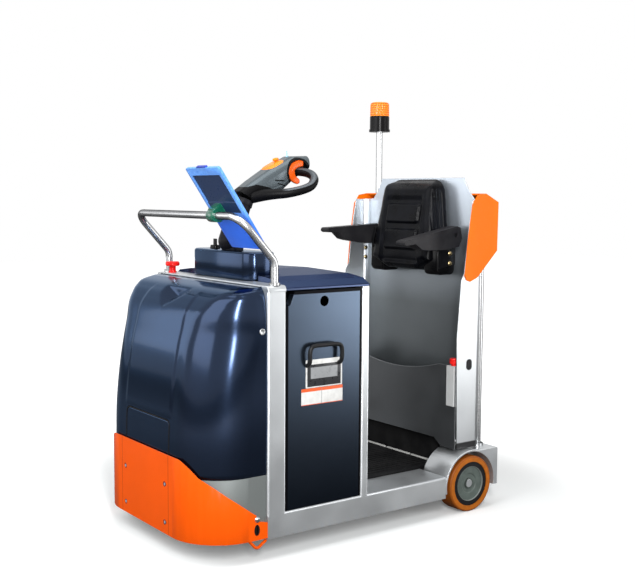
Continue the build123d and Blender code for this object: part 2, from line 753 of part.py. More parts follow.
with BuildPart() as handrail:
    with BuildLine() as rail_path:
        FilletPolyline(
            (ahead(rail_foot_x), -rail_y, bridge_top),
            (ahead(rail_foot_x), -rail_y, rail_knee_z),
            (ahead(rail_top_x), -rail_y, rail_top_z),
            (ahead(rail_top_x), rail_y, rail_top_z),
            (ahead(rail_foot_x), rail_y, rail_knee_z),
            (ahead(rail_foot_x), rail_y, bridge_top),
            radius=(rail_bend, rail_corner, rail_corner, rail_bend),
        )
    with BuildSketch(Plane(origin=(ahead(rail_foot_x), -rail_y, bridge_top))):
        Circle(rail_radius)
    sweep(path=rail_path.line)
    with BuildSketch(Plane.XY.offset(bridge_top)):
        with Locations((ahead(rail_foot_x), rail_y), (ahead(rail_foot_x), -rail_y)):
            Circle(rail_foot_radius)
    extrude(amount=rail_foot_height)
handrail.part.label = "handrail"
export_step(handrail.part, "parts/handrail.step")

# ---- plan of the nose: straight sides, round corners, straight front --------
nose_radius = 0.723 * nose_length


def nose_outline(half, front, corner, rear):
    """Closed nose plan: half width, front and corner radius, cut off square at the rear."""
    start = Polyline(
        (ahead(front - corner), half),
        (ahead(rear), half),
        (ahead(rear), -half),
        (ahead(front - corner), -half),
    )
    RadiusArc(start @ 1, (ahead(front), corner - half), -corner)
    Line((ahead(front), corner - half), (ahead(front), half - corner))
    RadiusArc((ahead(front), half - corner), start @ 0, -corner)


def nose_inside(inset, rear):
    """Nose plan this far inside the bumper's outer face."""
    nose_outline(half_width - inset, front_reach - inset, nose_radius - inset, rear)


# ---- bumper: bent plate round the nose, its top edge falling to a tab at the posts --------
bumper_plate = 8.0
bumper_bottom = 75.0
bumper_top = 339.0
bumper_rear = front_post_front
bumper_edge = (  # behind the bumper's face, height of the top edge
    (4, bumper_top),
    (35, bumper_top - 50),
    (107, bumper_top - 110),
    (200, bumper_top - 179),
    (205, bumper_top - 181),
    (205, bumper_top - 201),
    (front_reach - bumper_rear + 1, bumper_top - 213),
)
slot_ahead, slot_width = 40.0, 5.0
slot_x = bumper_rear + slot_ahead
slot_bottom, slot_top = bumper_bottom + 14.0, bumper_bottom + 52.0
bolt_y, bolt_radius, bolt_recess = 144.0, 6.0, 3.0
bolt_ring = 2.5  # width of the recess round each bolt head
bolt_heights = (bumper_bottom + 38.0, bumper_bottom + 165.0)

with BuildPart() as bumper:
    with BuildSketch(Plane.XY.offset(bumper_bottom)):
        with BuildLine():
            nose_inside(0, bumper_rear)
        make_face()
        with BuildLine():
            nose_inside(bumper_plate, bumper_rear - 1)
        make_face(mode=Mode.SUBTRACT)
    extrude(amount=bumper_top - bumper_bottom)
    with BuildSketch(side_plane(half_width + 1)):
        with BuildLine():
            Polyline(
                *[(ahead(front_reach - back), z) for back, z in bumper_edge],
                (ahead(bumper_rear - 1), bumper_top + 1),
                (ahead(front_reach - bumper_edge[0][0]), bumper_top + 1),
                close=True,
            )
        make_face()
        with Locations((ahead(slot_x), (slot_bottom + slot_top) / 2)):
            SlotOverall(slot_top - slot_bottom, slot_width, rotation=90)
    extrude(amount=2 * half_width + 2, mode=Mode.SUBTRACT)
    with BuildSketch(cross_plane(front_reach)):
        with Locations(*[(sign * bolt_y, z) for sign in SIDES.values() for z in bolt_heights]):
            Circle(bolt_radius + bolt_ring)
            Circle(bolt_radius, mode=Mode.SUBTRACT)
    extrude(amount=-bolt_recess, mode=Mode.SUBTRACT)
bumper.part.label = "bumper"
export_step(bumper.part, "parts/bumper.step")

# ---- apron: the chassis wall inside the bumper, with the cross plate that carries the drive --------
apron_plate = 6.0
apron_inset = bumper_plate
apron_bottom = bumper_bottom + 17.0
apron_top = bumper_top - 58.0
drive_setback = 175.0
drive_x = front_reach - drive_setback  # steering axis of the drive wheel
mount_plate = 12.0
drive_bore = 95.0

with BuildPart() as front_apron:
    with BuildSketch(Plane.XY.offset(apron_bottom)):
        with BuildLine():
            nose_inside(apron_inset, front_post_front)
        make_face()
        with BuildLine():
            nose_inside(apron_inset + apron_plate, front_post_front - 1)
        make_face(mode=Mode.SUBTRACT)
    extrude(amount=apron_top - apron_bottom)
    with BuildSketch(Plane.XY.offset(apron_top - mount_plate)):
        with BuildLine():
            nose_inside(apron_inset + apron_plate, front_post_rear + sheet)
        make_face()
        with Locations((ahead(front_post_rear), half_width)):
            Rectangle(2 * (front_post_front - front_post_rear), 2 * post_depth, mode=Mode.SUBTRACT)
        with Locations((ahead(front_post_rear), -half_width)):
            Rectangle(2 * (front_post_front - front_post_rear), 2 * post_depth, mode=Mode.SUBTRACT)
        with Locations((ahead(drive_x), 0)):
            Circle(drive_bore, mode=Mode.SUBTRACT)
    extrude(amount=mount_plate)
front_apron.part.label = "front_apron"
export_step(front_apron.part, "parts/front_apron.step")

# ---- lashing eyes: bent rods welded under the bumper's sides --------
eye_rod = 5.0
eye_bend = 14.0
eye_y = half_width - bumper_plate - eye_rod - 0.5
eye_path_points = (  # ahead of the front post, height
    (77, apron_bottom - 3.5),
    (34, sill_bottom - 29),
    (-sheet / 2, sill_bottom - 4),
)

for side, sign in SIDES.items():
    with BuildPart() as lashing_eye:
        with BuildLine() as eye_path:
            FilletPolyline(
                *[(ahead(front_post_front + d), sign * eye_y, z) for d, z in eye_path_points],
                radius=eye_bend,
            )
        with BuildSketch(Plane(origin=eye_path.line @ 0, z_dir=eye_path.line % 0)):
            Circle(eye_rod)
        sweep(path=eye_path.line)
    lashing_eye.part.label = f"lashing_eye_{side}"
    export_step(lashing_eye.part, f"parts/lashing_eye_{side}.step")

# ---- hood: one moulded shell over the drive, with a finger recess in its front --------
hood_wall = 4.0
hood_clear = 0.3
hood_inset = bumper_plate + hood_clear
hood_bottom = apron_top + hood_clear
hood_top = post_top - hood_clear
hood_shape = (  # height, in from the side, then shares of the nose's length and corner radius
    (hood_bottom + 157, 4.0, 0.054, 0.956),
    (hood_bottom + 319, 5.0, 0.1225, 0.956),
    (hood_top - 150, 8.0, 0.227, 0.922),
    (hood_top - 60, 14.0, 0.3615, 0.7),
    (hood_top - 30, 19.0, 0.482, 0.528),
    (hood_top - 10, 29.0, 0.6385, 0.333),
    (hood_top, 39.0, 0.815, 0.222),
)
hood_sections = [(hood_bottom, hood_inset, hood_inset, nose_radius - hood_inset)]
for z, inset, back_share, corner_share in hood_shape:
    hood_sections.append((z, inset, back_share * nose_length, corner_share * nose_radius))
recess_back = front_reach - 0.554 * nose_length
recess_length = 0.434 * nose_length
recess_valley_y, recess_depth = -5.0, 54.0  # deepest line of the recess at its back
recess_arms = ((-170.0, 76.0), (210.0, 76.0))  # sideways and up from the deepest line
recess_fall = 46.0  # drop of the deepest line over the recess's length


hood_forms = []
for wall, rear in ((0.0, front_post_front), (hood_wall, front_post_front - 1)):
    with BuildPart() as hood_form:
        for z, inset, back, corner in hood_sections:
            with BuildSketch(Plane.XY.offset(z - wall)):
                with BuildLine():
                    nose_outline(
                        half_width - inset - wall, front_reach - back - wall, corner - wall, rear
                    )
                make_face()
        loft(ruled=True)
        for along in (-wall, recess_length):
            floor_z = hood_top - recess_depth - wall - recess_fall * along / recess_length
            with BuildSketch(cross_plane(recess_back + along)):
                with BuildLine():
                    Polyline(
                        (recess_valley_y, floor_z),
                        *[(recess_valley_y + out, floor_z + up) for out, up in recess_arms],
                        close=True,
                    )
                make_face()
        loft(ruled=True, mode=Mode.SUBTRACT)
    hood_forms.append(hood_form.part)

with BuildPart() as hood:
    add(hood_forms[0])
    add(hood_forms[1], mode=Mode.SUBTRACT)
hood.part.label = "hood"
export_step(hood.part, "parts/hood.step")

# ---- battery bay: rear bulkhead, battery block, lift-out side doors, moulded top --------
bulkhead_setback = 8.0
bulkhead_x = battery_post_rear + bulkhead_setback  # front face
bulkhead_plate = 4.0

with BuildPart() as bulkhead:
    with BuildSketch(cross_plane(bulkhead_x - bulkhead_plate)):
        with Locations((0, (sill_top + battery_post_top) / 2)):
            Rectangle(2 * (half_width - post_depth), battery_post_top - sill_top)
    extrude(amount=bulkhead_plate)
bulkhead.part.label = "bulkhead"
export_step(bulkhead.part, "parts/bulkhead.step")

battery_gap = 9.0
battery_rear, battery_front = battery_post_front + battery_gap, front_post_rear - battery_gap
battery_half = half_width - post_depth - battery_gap
battery_height = 627.0

with BuildPart() as battery:
    with BuildSketch(Plane.XY.offset(sill_top)):
        with Locations((ahead((battery_rear + battery_front) / 2), 0)):
            Rectangle(battery_front - battery_rear, 2 * battery_half)
    extrude(amount=battery_height)
battery.part.label = "battery"
export_step(battery.part, "parts/battery.step")

door_gap = 2.0
door_outset = 3.0  # outer face inside the posts' outer face
door_depth = 26.0
door_sheet = 2.0
door_top_drop = 16.0
door_bottom, door_top = sill_top + seat_clear, post_top - door_top_drop
door_notch_back, door_notch_drop = 29.0, 64.0
door_notch_x, door_notch_z = front_post_rear - door_notch_back, post_top - door_notch_drop
door_notch_slope = ((12.0, 4.0), (-6.0, door_top - door_notch_z))
door_hole_ahead, door_hole_drop = 159.0, 53.0
door_hole_x, door_hole_z = battery_post_front + door_hole_ahead, post_top - door_hole_drop
door_hole_radius = 17.5
door_rear = battery_post_front + door_gap
door_front = front_post_rear - door_gap
door_face = half_width - door_outset

with BuildPart() as door_left:
    with BuildSketch(side_plane(door_face)):
        with BuildLine():
            Polyline(
                (ahead(door_rear), door_bottom),
                (ahead(door_front), door_bottom),
                (ahead(door_front), door_notch_z),
                *[(ahead(door_notch_x + d), door_notch_z + z) for d, z in door_notch_slope],
                (ahead(door_rear), door_top),
                close=True,
            )
        make_face()
    extrude(amount=door_depth)
    inner_face = door_left.faces().sort_by(Axis.Y)[0]
    offset(amount=-door_sheet, openings=inner_face)
    with BuildSketch(side_plane(door_face)):
        with Locations((ahead(door_hole_x), door_hole_z)):
            Circle(door_hole_radius)
    extrude(amount=door_depth, mode=Mode.SUBTRACT)
door_left.part.label = "door_left"
export_step(door_left.part, "parts/door_left.step")

with BuildPart() as door_right:
    mirror(door_left.part, about=Plane.XZ)
door_right.part.label = "door_right"
export_step(door_right.part, "parts/door_right.step")

handle_ahead, handle_length = 95.0, 155.0
handle_drop, handle_height = 188.0, 84.0
handle_rear = battery_post_front + handle_ahead
handle_front = handle_rear + handle_length
handle_top = post_top - handle_drop
handle_bottom = handle_top - handle_height
handle_standoff, handle_thickness = 26.0, 10.0
handle_bar, handle_leg = 18.0, 16.0
handle_corner = 8.0
handle_x, handle_z = (handle_rear + handle_front) / 2, (handle_bottom + handle_top) / 2
handle_inner = handle_front - handle_rear - 2 * handle_leg

for side, sign in SIDES.items():
    with BuildPart() as door_handle:
        with BuildSketch(side_plane(sign * door_face)):
            with Locations((ahead(handle_x), handle_z)):
                RectangleRounded(
                    handle_front - handle_rear, handle_top - handle_bottom, handle_corner
                )
            with Locations((ahead(handle_x), handle_z - handle_bar)):
                Rectangle(handle_inner, handle_top - handle_bottom, mode=Mode.SUBTRACT)
        extrude(amount=-sign * handle_standoff)
        with BuildSketch(side_plane(sign * door_face)):
            with Locations((ahead(handle_x), handle_z)):
                Rectangle(handle_inner, handle_top - handle_bottom + 2)
        extrude(amount=-sign * (handle_standoff - handle_thickness), mode=Mode.SUBTRACT)
    door_handle.part.label = f"door_handle_{side}"
    export_step(door_handle.part, f"parts/door_handle_{side}.step")

# ---- moulded top over the battery, with a recess for the cowl --------
lid_bottom = battery_post_top
lid_crown = 42.0  # middle of the top, above the underside
lid_flange = 7.0
lid_shoulders = (  # in from the side, above the underside
    (127.0, 36.0),
    (44.0, 26.0),
    (12.0, lid_flange + 1.0),
)
lid_skin = 4.0
lid_corner = 12.0
lid_lip, lid_gap = 5.0, 1.0
lid_rear, lid_front = battery_post_rear - lid_lip, front_post_rear - lid_gap
cowl_back, cowl_ahead = 93.0, 31.0
cowl_rear, cowl_front = front_post_rear - cowl_back, front_post_rear + cowl_ahead
cowl_half = 200.0
recess_gap = 4.0
recess_half = cowl_half + recess_gap
lid_side = [(half_width - inset, lid_bottom + rise) for inset, rise in lid_shoulders]
lid_middle_z = lid_side[0][1]

with BuildPart() as battery_cover:
    with BuildSketch(cross_plane(lid_rear)):
        with BuildLine():
            Polyline(
                (0, lid_bottom + lid_crown),
                *lid_side,
                (half_width, lid_bottom + lid_flange),
                (half_width, lid_bottom),
                (-half_width, lid_bottom),
                (-half_width, lid_bottom + lid_flange),
                *[(-y, z) for y, z in lid_side[::-1]],
                close=True,
            )
        make_face()
    extrude(amount=lid_front - lid_rear)
    with BuildSketch(Plane.XY.offset(lid_bottom)):
        with Locations((ahead(lid_rear + half_width), 0)):
            RectangleRounded(2 * half_width, 2 * half_width, lid_corner)
    extrude(amount=2 * lid_crown, mode=Mode.INTERSECT)
    with BuildSketch(cross_plane(lid_rear + lid_skin)):
        with BuildLine():
            Polyline(
                *[(y - lid_skin, z - lid_skin) for y, z in lid_side],
                (lid_side[-1][0] - lid_skin, lid_bottom),
                (lid_skin - lid_side[-1][0], lid_bottom),
                *[(lid_skin - y, z - lid_skin) for y, z in lid_side[::-1]],
                close=True,
            )
        make_face()
    extrude(amount=lid_front - lid_rear - 2 * lid_skin, mode=Mode.SUBTRACT)
    with BuildSketch(Plane.XY.offset(bridge_top)):
        with Locations((ahead((cowl_rear + front_post_front) / 2), 0)):
            Rectangle(front_post_front - cowl_rear, 2 * recess_half)
    extrude(amount=lid_crown, mode=Mode.SUBTRACT)
    with BuildSketch(Plane.XY.offset(bridge_top)):
        with Locations((ahead((cowl_rear - lid_skin + lid_front) / 2), 0)):
            Rectangle(lid_front - cowl_rear + lid_skin, 2 * (recess_half + lid_skin))
    extrude(amount=-lid_skin)
    with BuildSketch(cross_plane(cowl_rear - lid_skin)):
        with Locations((0, (bridge_top + lid_middle_z) / 2)):
            Rectangle(2 * recess_half, lid_middle_z - bridge_top)
    extrude(amount=lid_skin)
battery_cover.part.label = "battery_cover"
export_step(battery_cover.part, "parts/battery_cover.step")

# ---- cowl over the tiller's foot, standing on the bridge --------
steer_setback = 29.0
steer_x = front_post_rear - steer_setback  # tiller axis
cowl_height = 96.0
cowl_corner, cowl_round = 34.0, 10.0
cowl_wall = 4.0
cowl_taper = 3.0
column_hole = 46.0
cowl_top = bridge_top + cowl_height

with BuildPart() as tiller_cowl:
    with BuildSketch(Plane.XY.offset(bridge_top)):
        with Locations((ahead((cowl_rear + cowl_front) / 2), 0)):
            RectangleRounded(cowl_front - cowl_rear, 2 * cowl_half, cowl_corner)
    extrude(amount=cowl_height, taper=cowl_taper)
    fillet(tiller_cowl.faces().sort_by(Axis.Z)[-1].edges(), cowl_round)
    offset(amount=-cowl_wall, openings=tiller_cowl.faces().sort_by(Axis.Z)[0])
    with BuildSketch(Plane.XY.offset(cowl_top - 2 * cowl_wall)):
        with Locations((ahead(steer_x), 0)):
            Circle(column_hole)
    extrude(amount=3 * cowl_wall, mode=Mode.SUBTRACT)
tiller_cowl.part.label = "tiller_cowl"
export_step(tiller_cowl.part, "parts/tiller_cowl.step")

# ---- key switch and emergency knob --------
key_y = -118.0
key_base_radius, key_base, key_base_taper = 19.0, 12.0, 12.0
key_thickness, key_width, key_height = 7.0, 16.0, 22.0

with BuildPart() as key_switch:
    with BuildSketch(Plane.XY.offset(cowl_top)):
        with Locations((ahead(steer_x), key_y)):
            Circle(key_base_radius)
    extrude(amount=key_base, taper=key_base_taper)
    with BuildSketch(Plane.XY.offset(cowl_top + key_base)):
        with Locations((ahead(steer_x), key_y)):
            Rectangle(key_thickness, key_width)
    extrude(amount=key_height)
key_switch.part.label = "key_switch"
export_step(key_switch.part, "parts/key_switch.step")

knob_ahead, knob_inset = 43.0, 70.0
knob_x, knob_y = front_post_rear + knob_ahead, knob_inset - half_width
knob_round = 6.0
knob_stages = (  # radius, height: collar, stem, head
    (15.0, 6.0),
    (12.0, 18.0),
    (26.0, 17.0),
)

with BuildPart() as emergency_knob:
    level = bridge_top
    for radius, height in knob_stages:
        with BuildSketch(Plane.XY.offset(level)):
            with Locations((ahead(knob_x), knob_y)):
                Circle(radius)
        extrude(amount=height)
        level += height
    head_rims = emergency_knob.edges().filter_by(GeomType.CIRCLE).group_by(SortBy.RADIUS)[-1]
    fillet(head_rims, knob_round)
emergency_knob.part.label = "emergency_knob"
export_step(emergency_knob.part, "parts/emergency_knob.step")

# ---- tiller: foot, ball knee and leaning column with a collar --------
column_radius = 38.0
foot_radius = 38.0
collar_radius, collar_length = 41.0, 20.0
column_foot_z = bridge_top + seat_clear
knee_ahead, knee_rise = 14.0, 30.0
neck_back, neck_rise = 39.0, 175.0
knee_x, knee_z = steer_x + knee_ahead, cowl_top + knee_rise
neck_x, neck_z = steer_x - neck_back, cowl_top + neck_rise
column_lean = atan2(knee_x - neck_x, neck_z - knee_z)
column_length = sqrt((knee_x - neck_x) ** 2 + (neck_z - knee_z) ** 2)

with BuildPart() as tiller_column:
    with BuildSketch(Plane.XY.offset(column_foot_z)):
        with Locations((ahead(steer_x), 0)):
            Circle(foot_radius)
    extrude(amount=knee_z - column_foot_z)
    with Locations((ahead(knee_x), 0, knee_z)):
        Sphere(column_radius)
    lean_plane = Plane(
        origin=(ahead(knee_x), 0, knee_z),
        x_dir=(0, 1, 0),
        z_dir=(-sin(column_lean), 0, cos(column_lean)),
    )
    with BuildSketch(lean_plane):
        Circle(column_radius)
    extrude(amount=column_length)
    with BuildSketch(lean_plane.offset(column_length - collar_length)):
        Circle(collar_radius)
    extrude(amount=collar_length)
tiller_column.part.label = "tiller_column"
export_step(tiller_column.part, "parts/tiller_column.step")

# ---- tiller head: moulded body with a round recess on each side --------
head_sections = (  # behind the neck, above it, tilt from upright, height, width, corner
    (5.0, 7.0, 57.0, 75.0, 84.0, 26.0),
    (48.0, 33.0, 34.1, 74.9, 92.0, 28.0),
    (122.5, 68.5, 29.0, 92.7, 100.0, 30.0),
    (199.0, 115.0, 11.6, 79.6, 96.0, 30.0),
    (260.5, 132.0, 5.7, 50.2, 84.0, 22.0),
)
dish_back, dish_rise = 211.0, 95.0
dish_x, dish_z = neck_x - dish_back, neck_z + dish_rise
dish_radius = 46.0
dish_floor = 26.0  # half distance between the two recess floors

with BuildPart() as tiller_head:
    for back, above, tilt, height, width, corner in head_sections:
        section = Plane(
            origin=(ahead(neck_x - back), 0, neck_z + above),
            x_dir=(0, 1, 0),
            z_dir=(-cos(radians(tilt)), 0, sin(radians(tilt))),
        )
        with BuildSketch(section):
            RectangleRounded(width, height, corner)
    loft(ruled=True)
    for sign in SIDES.values():
        with BuildSketch(side_plane(sign * dish_floor)):
            with Locations((ahead(dish_x), dish_z)):
                Circle(dish_radius)
        extrude(amount=-sign * 2 * dish_floor, mode=Mode.SUBTRACT)
    add(tiller_column.part, mode=Mode.SUBTRACT)
tiller_head.part.label = "tiller_head"
export_step(tiller_head.part, "parts/tiller_head.step")

# ---- closed hand grips and thumb switches, one of each on both sides of the head --------
grip_radius = 16.0
grip_path_points = (  # behind the neck, out from the middle, above the neck
    (33.0, 38.0, 4.0),
    (123.0, 104.0, 19.0),
    (193.0, 132.0, 29.0),
    (228.0, 118.0, 69.0),
    (207.0, dish_floor, 99.0),
)
grip_bends = (80.0, 30.0, 28.0)
switch_outer, switch_inner = 39.0, 25.0
switch_thickness = 15.0
switch_mouth = 44.0  # width of the gap that faces the driver

for side, sign in SIDES.items():
    with BuildPart() as tiller_grip:
        with BuildLine() as grip_path:
            FilletPolyline(
                *[
                    (ahead(neck_x - back), sign * out, neck_z + above)
                    for back, out, above in grip_path_points
                ],
                radius=grip_bends,
            )
        with BuildSketch(Plane(origin=grip_path.line @ 0, z_dir=grip_path.line % 0)):
            Circle(grip_radius)
        sweep(path=grip_path.line)
        add(tiller_head.part, mode=Mode.SUBTRACT)
    tiller_grip.part.label = f"tiller_grip_{side}"
    export_step(tiller_grip.part, f"parts/tiller_grip_{side}.step")

    with BuildPart() as tiller_switch:
        with BuildSketch(side_plane(sign * (dish_floor + seat_clear))):
            with Locations((ahead(dish_x), dish_z)):
                Circle(switch_outer)
                Circle(switch_inner, mode=Mode.SUBTRACT)
            with Locations((ahead(dish_x - switch_outer), dish_z)):
                Rectangle(2 * switch_outer, switch_mouth, mode=Mode.SUBTRACT)
        extrude(amount=-sign * switch_thickness)
    tiller_switch.part.label = f"tiller_switch_{side}"
    export_step(tiller_switch.part, f"parts/tiller_switch_{side}.step")

# ---- writing board clamped to the rail: framed face above the clamp, tab on its top edge --------
board_lean = radians(34.5)  # from upright, top forward
board_width, board_length, board_thickness = 207.0, 312.0, 9.0
board_corner = 8.0
board_above = 160.0  # along the board from the rail to its top edge
board_frame, board_frame_top, board_recess = 18.0, 28.0, 3.0
board_tab_width, board_tab = 60.0, 5.0
clamp_width = 40.0
clamp_wall = 9.0
clamp_reach, clamp_corner = 26.0, 6.0  # the jaw against the board
clamp_inset, board_offset = 147.0, 28.0
clamp_y = rail_y - clamp_inset
board_y = clamp_y + board_offset
board_plane = Plane(
    origin=(ahead(rail_top_x), board_y, rail_top_z),
    x_dir=(0, 1, 0),
    z_dir=(-cos(board_lean), 0, sin(board_lean)),
)
jaw_thickness = 9.5
board_seat = rail_radius + clamp_wall + jaw_thickness
recess_top, recess_foot = board_above - board_frame_top, clamp_reach + 4.0

with BuildPart() as writing_board:
    with BuildSketch(board_plane.offset(board_seat)):
        with Locations((0, board_length / 2 - board_above)):
            RectangleRounded(board_width, board_length, board_corner)
        with Locations((0, -board_above)):
            RectangleRounded(board_tab_width, 2 * board_tab, board_tab - 1)
    extrude(amount=board_thickness)
    with BuildSketch(board_plane.offset(board_seat)):
        with Locations((0, -(recess_top + recess_foot) / 2)):
            Rectangle(board_width - 2 * board_frame, recess_top - recess_foot)
    extrude(amount=board_recess, mode=Mode.SUBTRACT)
writing_board.part.label = "writing_board"
export_step(writing_board.part, "parts/writing_board.step")

with BuildPart() as board_clamp:
    with BuildSketch(side_plane(clamp_y + clamp_width / 2)):
        with Locations((ahead(rail_top_x), rail_top_z)):
            Circle(rail_radius + clamp_wall)
    extrude(amount=clamp_width)
    with BuildSketch(board_plane):
        with Locations((clamp_y - board_y, 0)):
            RectangleRounded(clamp_width, 2 * clamp_reach, clamp_corner)
    extrude(amount=board_seat)
    with BuildSketch(side_plane(clamp_y + clamp_width)):
        with Locations((ahead(rail_top_x), rail_top_z)):
            Circle(rail_radius + running_gap)
    extrude(amount=2 * clamp_width, mode=Mode.SUBTRACT)
board_clamp.part.label = "board_clamp"
export_step(board_clamp.part, "parts/board_clamp.step")

# ---- drive: motor and gearbox on a slewing ring, and the drive wheel under it --------
ring_radius, ring_flange_radius, ring_flange = 88.0, 118.0, 14.0
drive_wheel_radius, drive_wheel_width = 115.0, 75.0
motor_radius, motor_height, motor_round = 78.0, 210.0, 12.0
gearbox_radius, gearbox_length, gearbox_width = 58.0, 100.0, 40.0
gearbox_gap = 6.0
drive_axle_radius = 16.0
gearbox_inner = drive_wheel_width / 2 + gearbox_gap
gearbox_top = apron_top - mount_plate

with BuildPart() as drive_unit:
    with BuildSketch(Plane.XY.offset(apron_top + seat_clear)):
        with Locations((ahead(drive_x), 0)):
            Circle(ring_flange_radius)
    extrude(amount=ring_flange)
    with BuildSketch(Plane.XY.offset(apron_top - 2 * mount_plate)):
        with Locations((ahead(drive_x), 0)):
            Circle(ring_radius)
    extrude(amount=2 * mount_plate + ring_flange)
    with BuildSketch(Plane.XY.offset(apron_top + ring_flange)):
        with Locations((ahead(drive_x), 0)):
            Circle(motor_radius)
    extrude(amount=motor_height)
    fillet(drive_unit.faces().sort_by(Axis.Z)[-1].edges(), motor_round)
    with BuildSketch(side_plane(gearbox_inner + gearbox_width)):
        with Locations((ahead(drive_x), drive_wheel_radius)):
            Circle(gearbox_radius)
        with Locations((ahead(drive_x), (drive_wheel_radius + gearbox_top) / 2)):
            Rectangle(gearbox_length, gearbox_top - drive_wheel_radius)
    extrude(amount=gearbox_width)
    with BuildSketch(side_plane(gearbox_inner)):
        with Locations((ahead(drive_x), drive_wheel_radius)):
            Circle(drive_axle_radius)
    extrude(amount=drive_wheel_width + gearbox_gap)
drive_unit.part.label = "drive_unit"
export_step(drive_unit.part, "parts/drive_unit.step")

drive_tyre_inner = 88.0
drive_half = drive_wheel_width / 2
drive_axis = Axis((ahead(drive_x), 0, drive_wheel_radius), (0, 1, 0))
drive_section = Plane(
    origin=(ahead(drive_x), 0, drive_wheel_radius), x_dir=(0, 1, 0), z_dir=(1, 0, 0)
)
drive_hub_outline = (  # across the machine, out from the axle
    (2 - drive_half, drive_axle_radius + running_gap),
    (2 - drive_half, 34),
    (-10, 40),
    (-10, drive_tyre_inner - 12),
    (4 - drive_half, drive_tyre_inner - 8),
    (4 - drive_half, drive_tyre_inner),
    (drive_half - 4, drive_tyre_inner),
    (drive_half - 4, drive_axle_radius + running_gap),
)

with BuildPart() as drive_tyre:
    with BuildSketch(drive_section):
        with Locations((0, (drive_wheel_radius + drive_tyre_inner) / 2)):
            Rectangle(drive_wheel_width, drive_wheel_radius - drive_tyre_inner)
    revolve(axis=drive_axis)
    drive_rims = drive_tyre.edges().filter_by(GeomType.CIRCLE).sort_by(SortBy.RADIUS)[-2:]
    fillet(drive_rims, tyre_shoulder)
drive_tyre.part.label = "drive_tyre"
export_step(drive_tyre.part, "parts/drive_tyre.step")

with BuildPart() as drive_hub:
    with BuildSketch(drive_section):
        with BuildLine():
            Polyline(*drive_hub_outline, close=True)
        make_face()
    revolve(axis=drive_axis)
drive_hub.part.label = "drive_hub"
export_step(drive_hub.part, "parts/drive_hub.step")
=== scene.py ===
"""Stand-on electric baggage tug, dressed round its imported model: painted sheet metal, moulded
covers, a padded lean seat and a moulded tiller. Metres; +X forward, +Y to the machine's left."""

import math

import bmesh
import bpy
import numpy as np
from mathutils import Matrix, Vector
from mathutils.bvhtree import BVHTree


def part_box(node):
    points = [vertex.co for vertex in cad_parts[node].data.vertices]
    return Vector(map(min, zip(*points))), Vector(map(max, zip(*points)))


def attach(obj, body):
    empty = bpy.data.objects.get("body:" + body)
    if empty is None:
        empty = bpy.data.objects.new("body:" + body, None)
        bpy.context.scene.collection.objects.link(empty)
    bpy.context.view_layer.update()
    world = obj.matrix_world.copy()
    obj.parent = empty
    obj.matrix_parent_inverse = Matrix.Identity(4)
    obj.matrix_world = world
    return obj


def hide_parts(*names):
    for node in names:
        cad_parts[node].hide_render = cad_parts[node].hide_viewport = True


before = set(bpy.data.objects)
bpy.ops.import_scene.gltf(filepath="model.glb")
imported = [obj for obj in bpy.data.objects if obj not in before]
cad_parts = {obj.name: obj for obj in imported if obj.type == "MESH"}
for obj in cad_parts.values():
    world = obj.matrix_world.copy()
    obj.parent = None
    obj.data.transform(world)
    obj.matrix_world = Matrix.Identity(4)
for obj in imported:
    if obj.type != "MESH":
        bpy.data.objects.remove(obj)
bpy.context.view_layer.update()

# ---- camera ----------------------------------------------------------------------------
# A camera on a tripod at chest height, to the machine's front left, with a short telephoto lens.
camera_place = Vector((2.21958, 3.07018, 1.17678))
camera_yaw, camera_pitch, camera_roll = (math.radians(a) for a in (233.62, -5.31, 0.36))
look = Vector((
    math.cos(camera_yaw) * math.cos(camera_pitch),
    math.sin(camera_yaw) * math.cos(camera_pitch),
    math.sin(camera_pitch),
))
level_right = look.cross(Vector((0, 0, 1))).normalized()
level_up = level_right.cross(look)
right = level_right * math.cos(camera_roll) + level_up * math.sin(camera_roll)
up = level_up * math.cos(camera_roll) - level_right * math.sin(camera_roll)
camera_data = bpy.data.cameras.new("camera")
camera_data.lens = 58.42
camera_data.sensor_width = 36.0
camera_data.clip_start, camera_data.clip_end = 0.05, 60.0
camera = bpy.data.objects.new("camera", camera_data)
bpy.context.scene.collection.objects.link(camera)
camera.matrix_world = Matrix((
    (right.x, up.x, -look.x, camera_place.x),
    (right.y, up.y, -look.y, camera_place.y),
    (right.z, up.z, -look.z, camera_place.z),
    (0, 0, 0, 1),
))
bpy.context.scene.camera = camera
bpy.context.scene.view_settings.view_transform = "Standard"

# ---- floor -----------------------------------------------------------------------------
# A wide sweep of white paper. Seen straight on it is white, with the machine's soft shadow on it;
# what it throws back onto the machine is painted greyer close by than further off, as painted shade on its
# lower parts.
floor_half = 14.0
shade_radius, bright_radius = 0.95, 1.8     # where the shadow's zone ends, and plain white starts
# the nearer grey is painted shade: the floor close by, as the machine mirrors it and is lit by it
near_shade_grey, far_white = 0.14, 0.80           # what the machine mirrors, close by and further off
mirror_radii = (1.0, 4.6)                   # from where to where that grey turns to white


def wire(source, target):
    """Feeds an input socket from an output socket, or holds it at a value; a colour is three numbers."""
    if not isinstance(source, (int, float, tuple)):
        target.id_data.links.new(source, target)
    elif target.type == "RGBA":
        target.default_value = (*source, 1)
    else:
        target.default_value = source


def feed(made, **sources):
    """Feeds a node's inputs by name, where an underscore stands for a space."""
    for label, source in sources.items():
        wire(source, made.inputs[label.replace("_", " ")])


def node(tree, kind, *sources, **values):
    """A new node: values set its properties and named inputs, sources feed its first inputs."""
    made = tree.nodes.new("ShaderNode" + kind)
    for label, value in values.items():
        if label.replace("_", " ") in made.inputs.keys():
            feed(made, **{label: value})
        else:
            setattr(made, label, value)
    for source, socket in zip(sources, made.inputs):
        wire(source, socket)
    return made


def own_place(tree):
    """Coordinates of the object that wears the material."""
    return node(tree, "TexCoord").outputs["Object"]


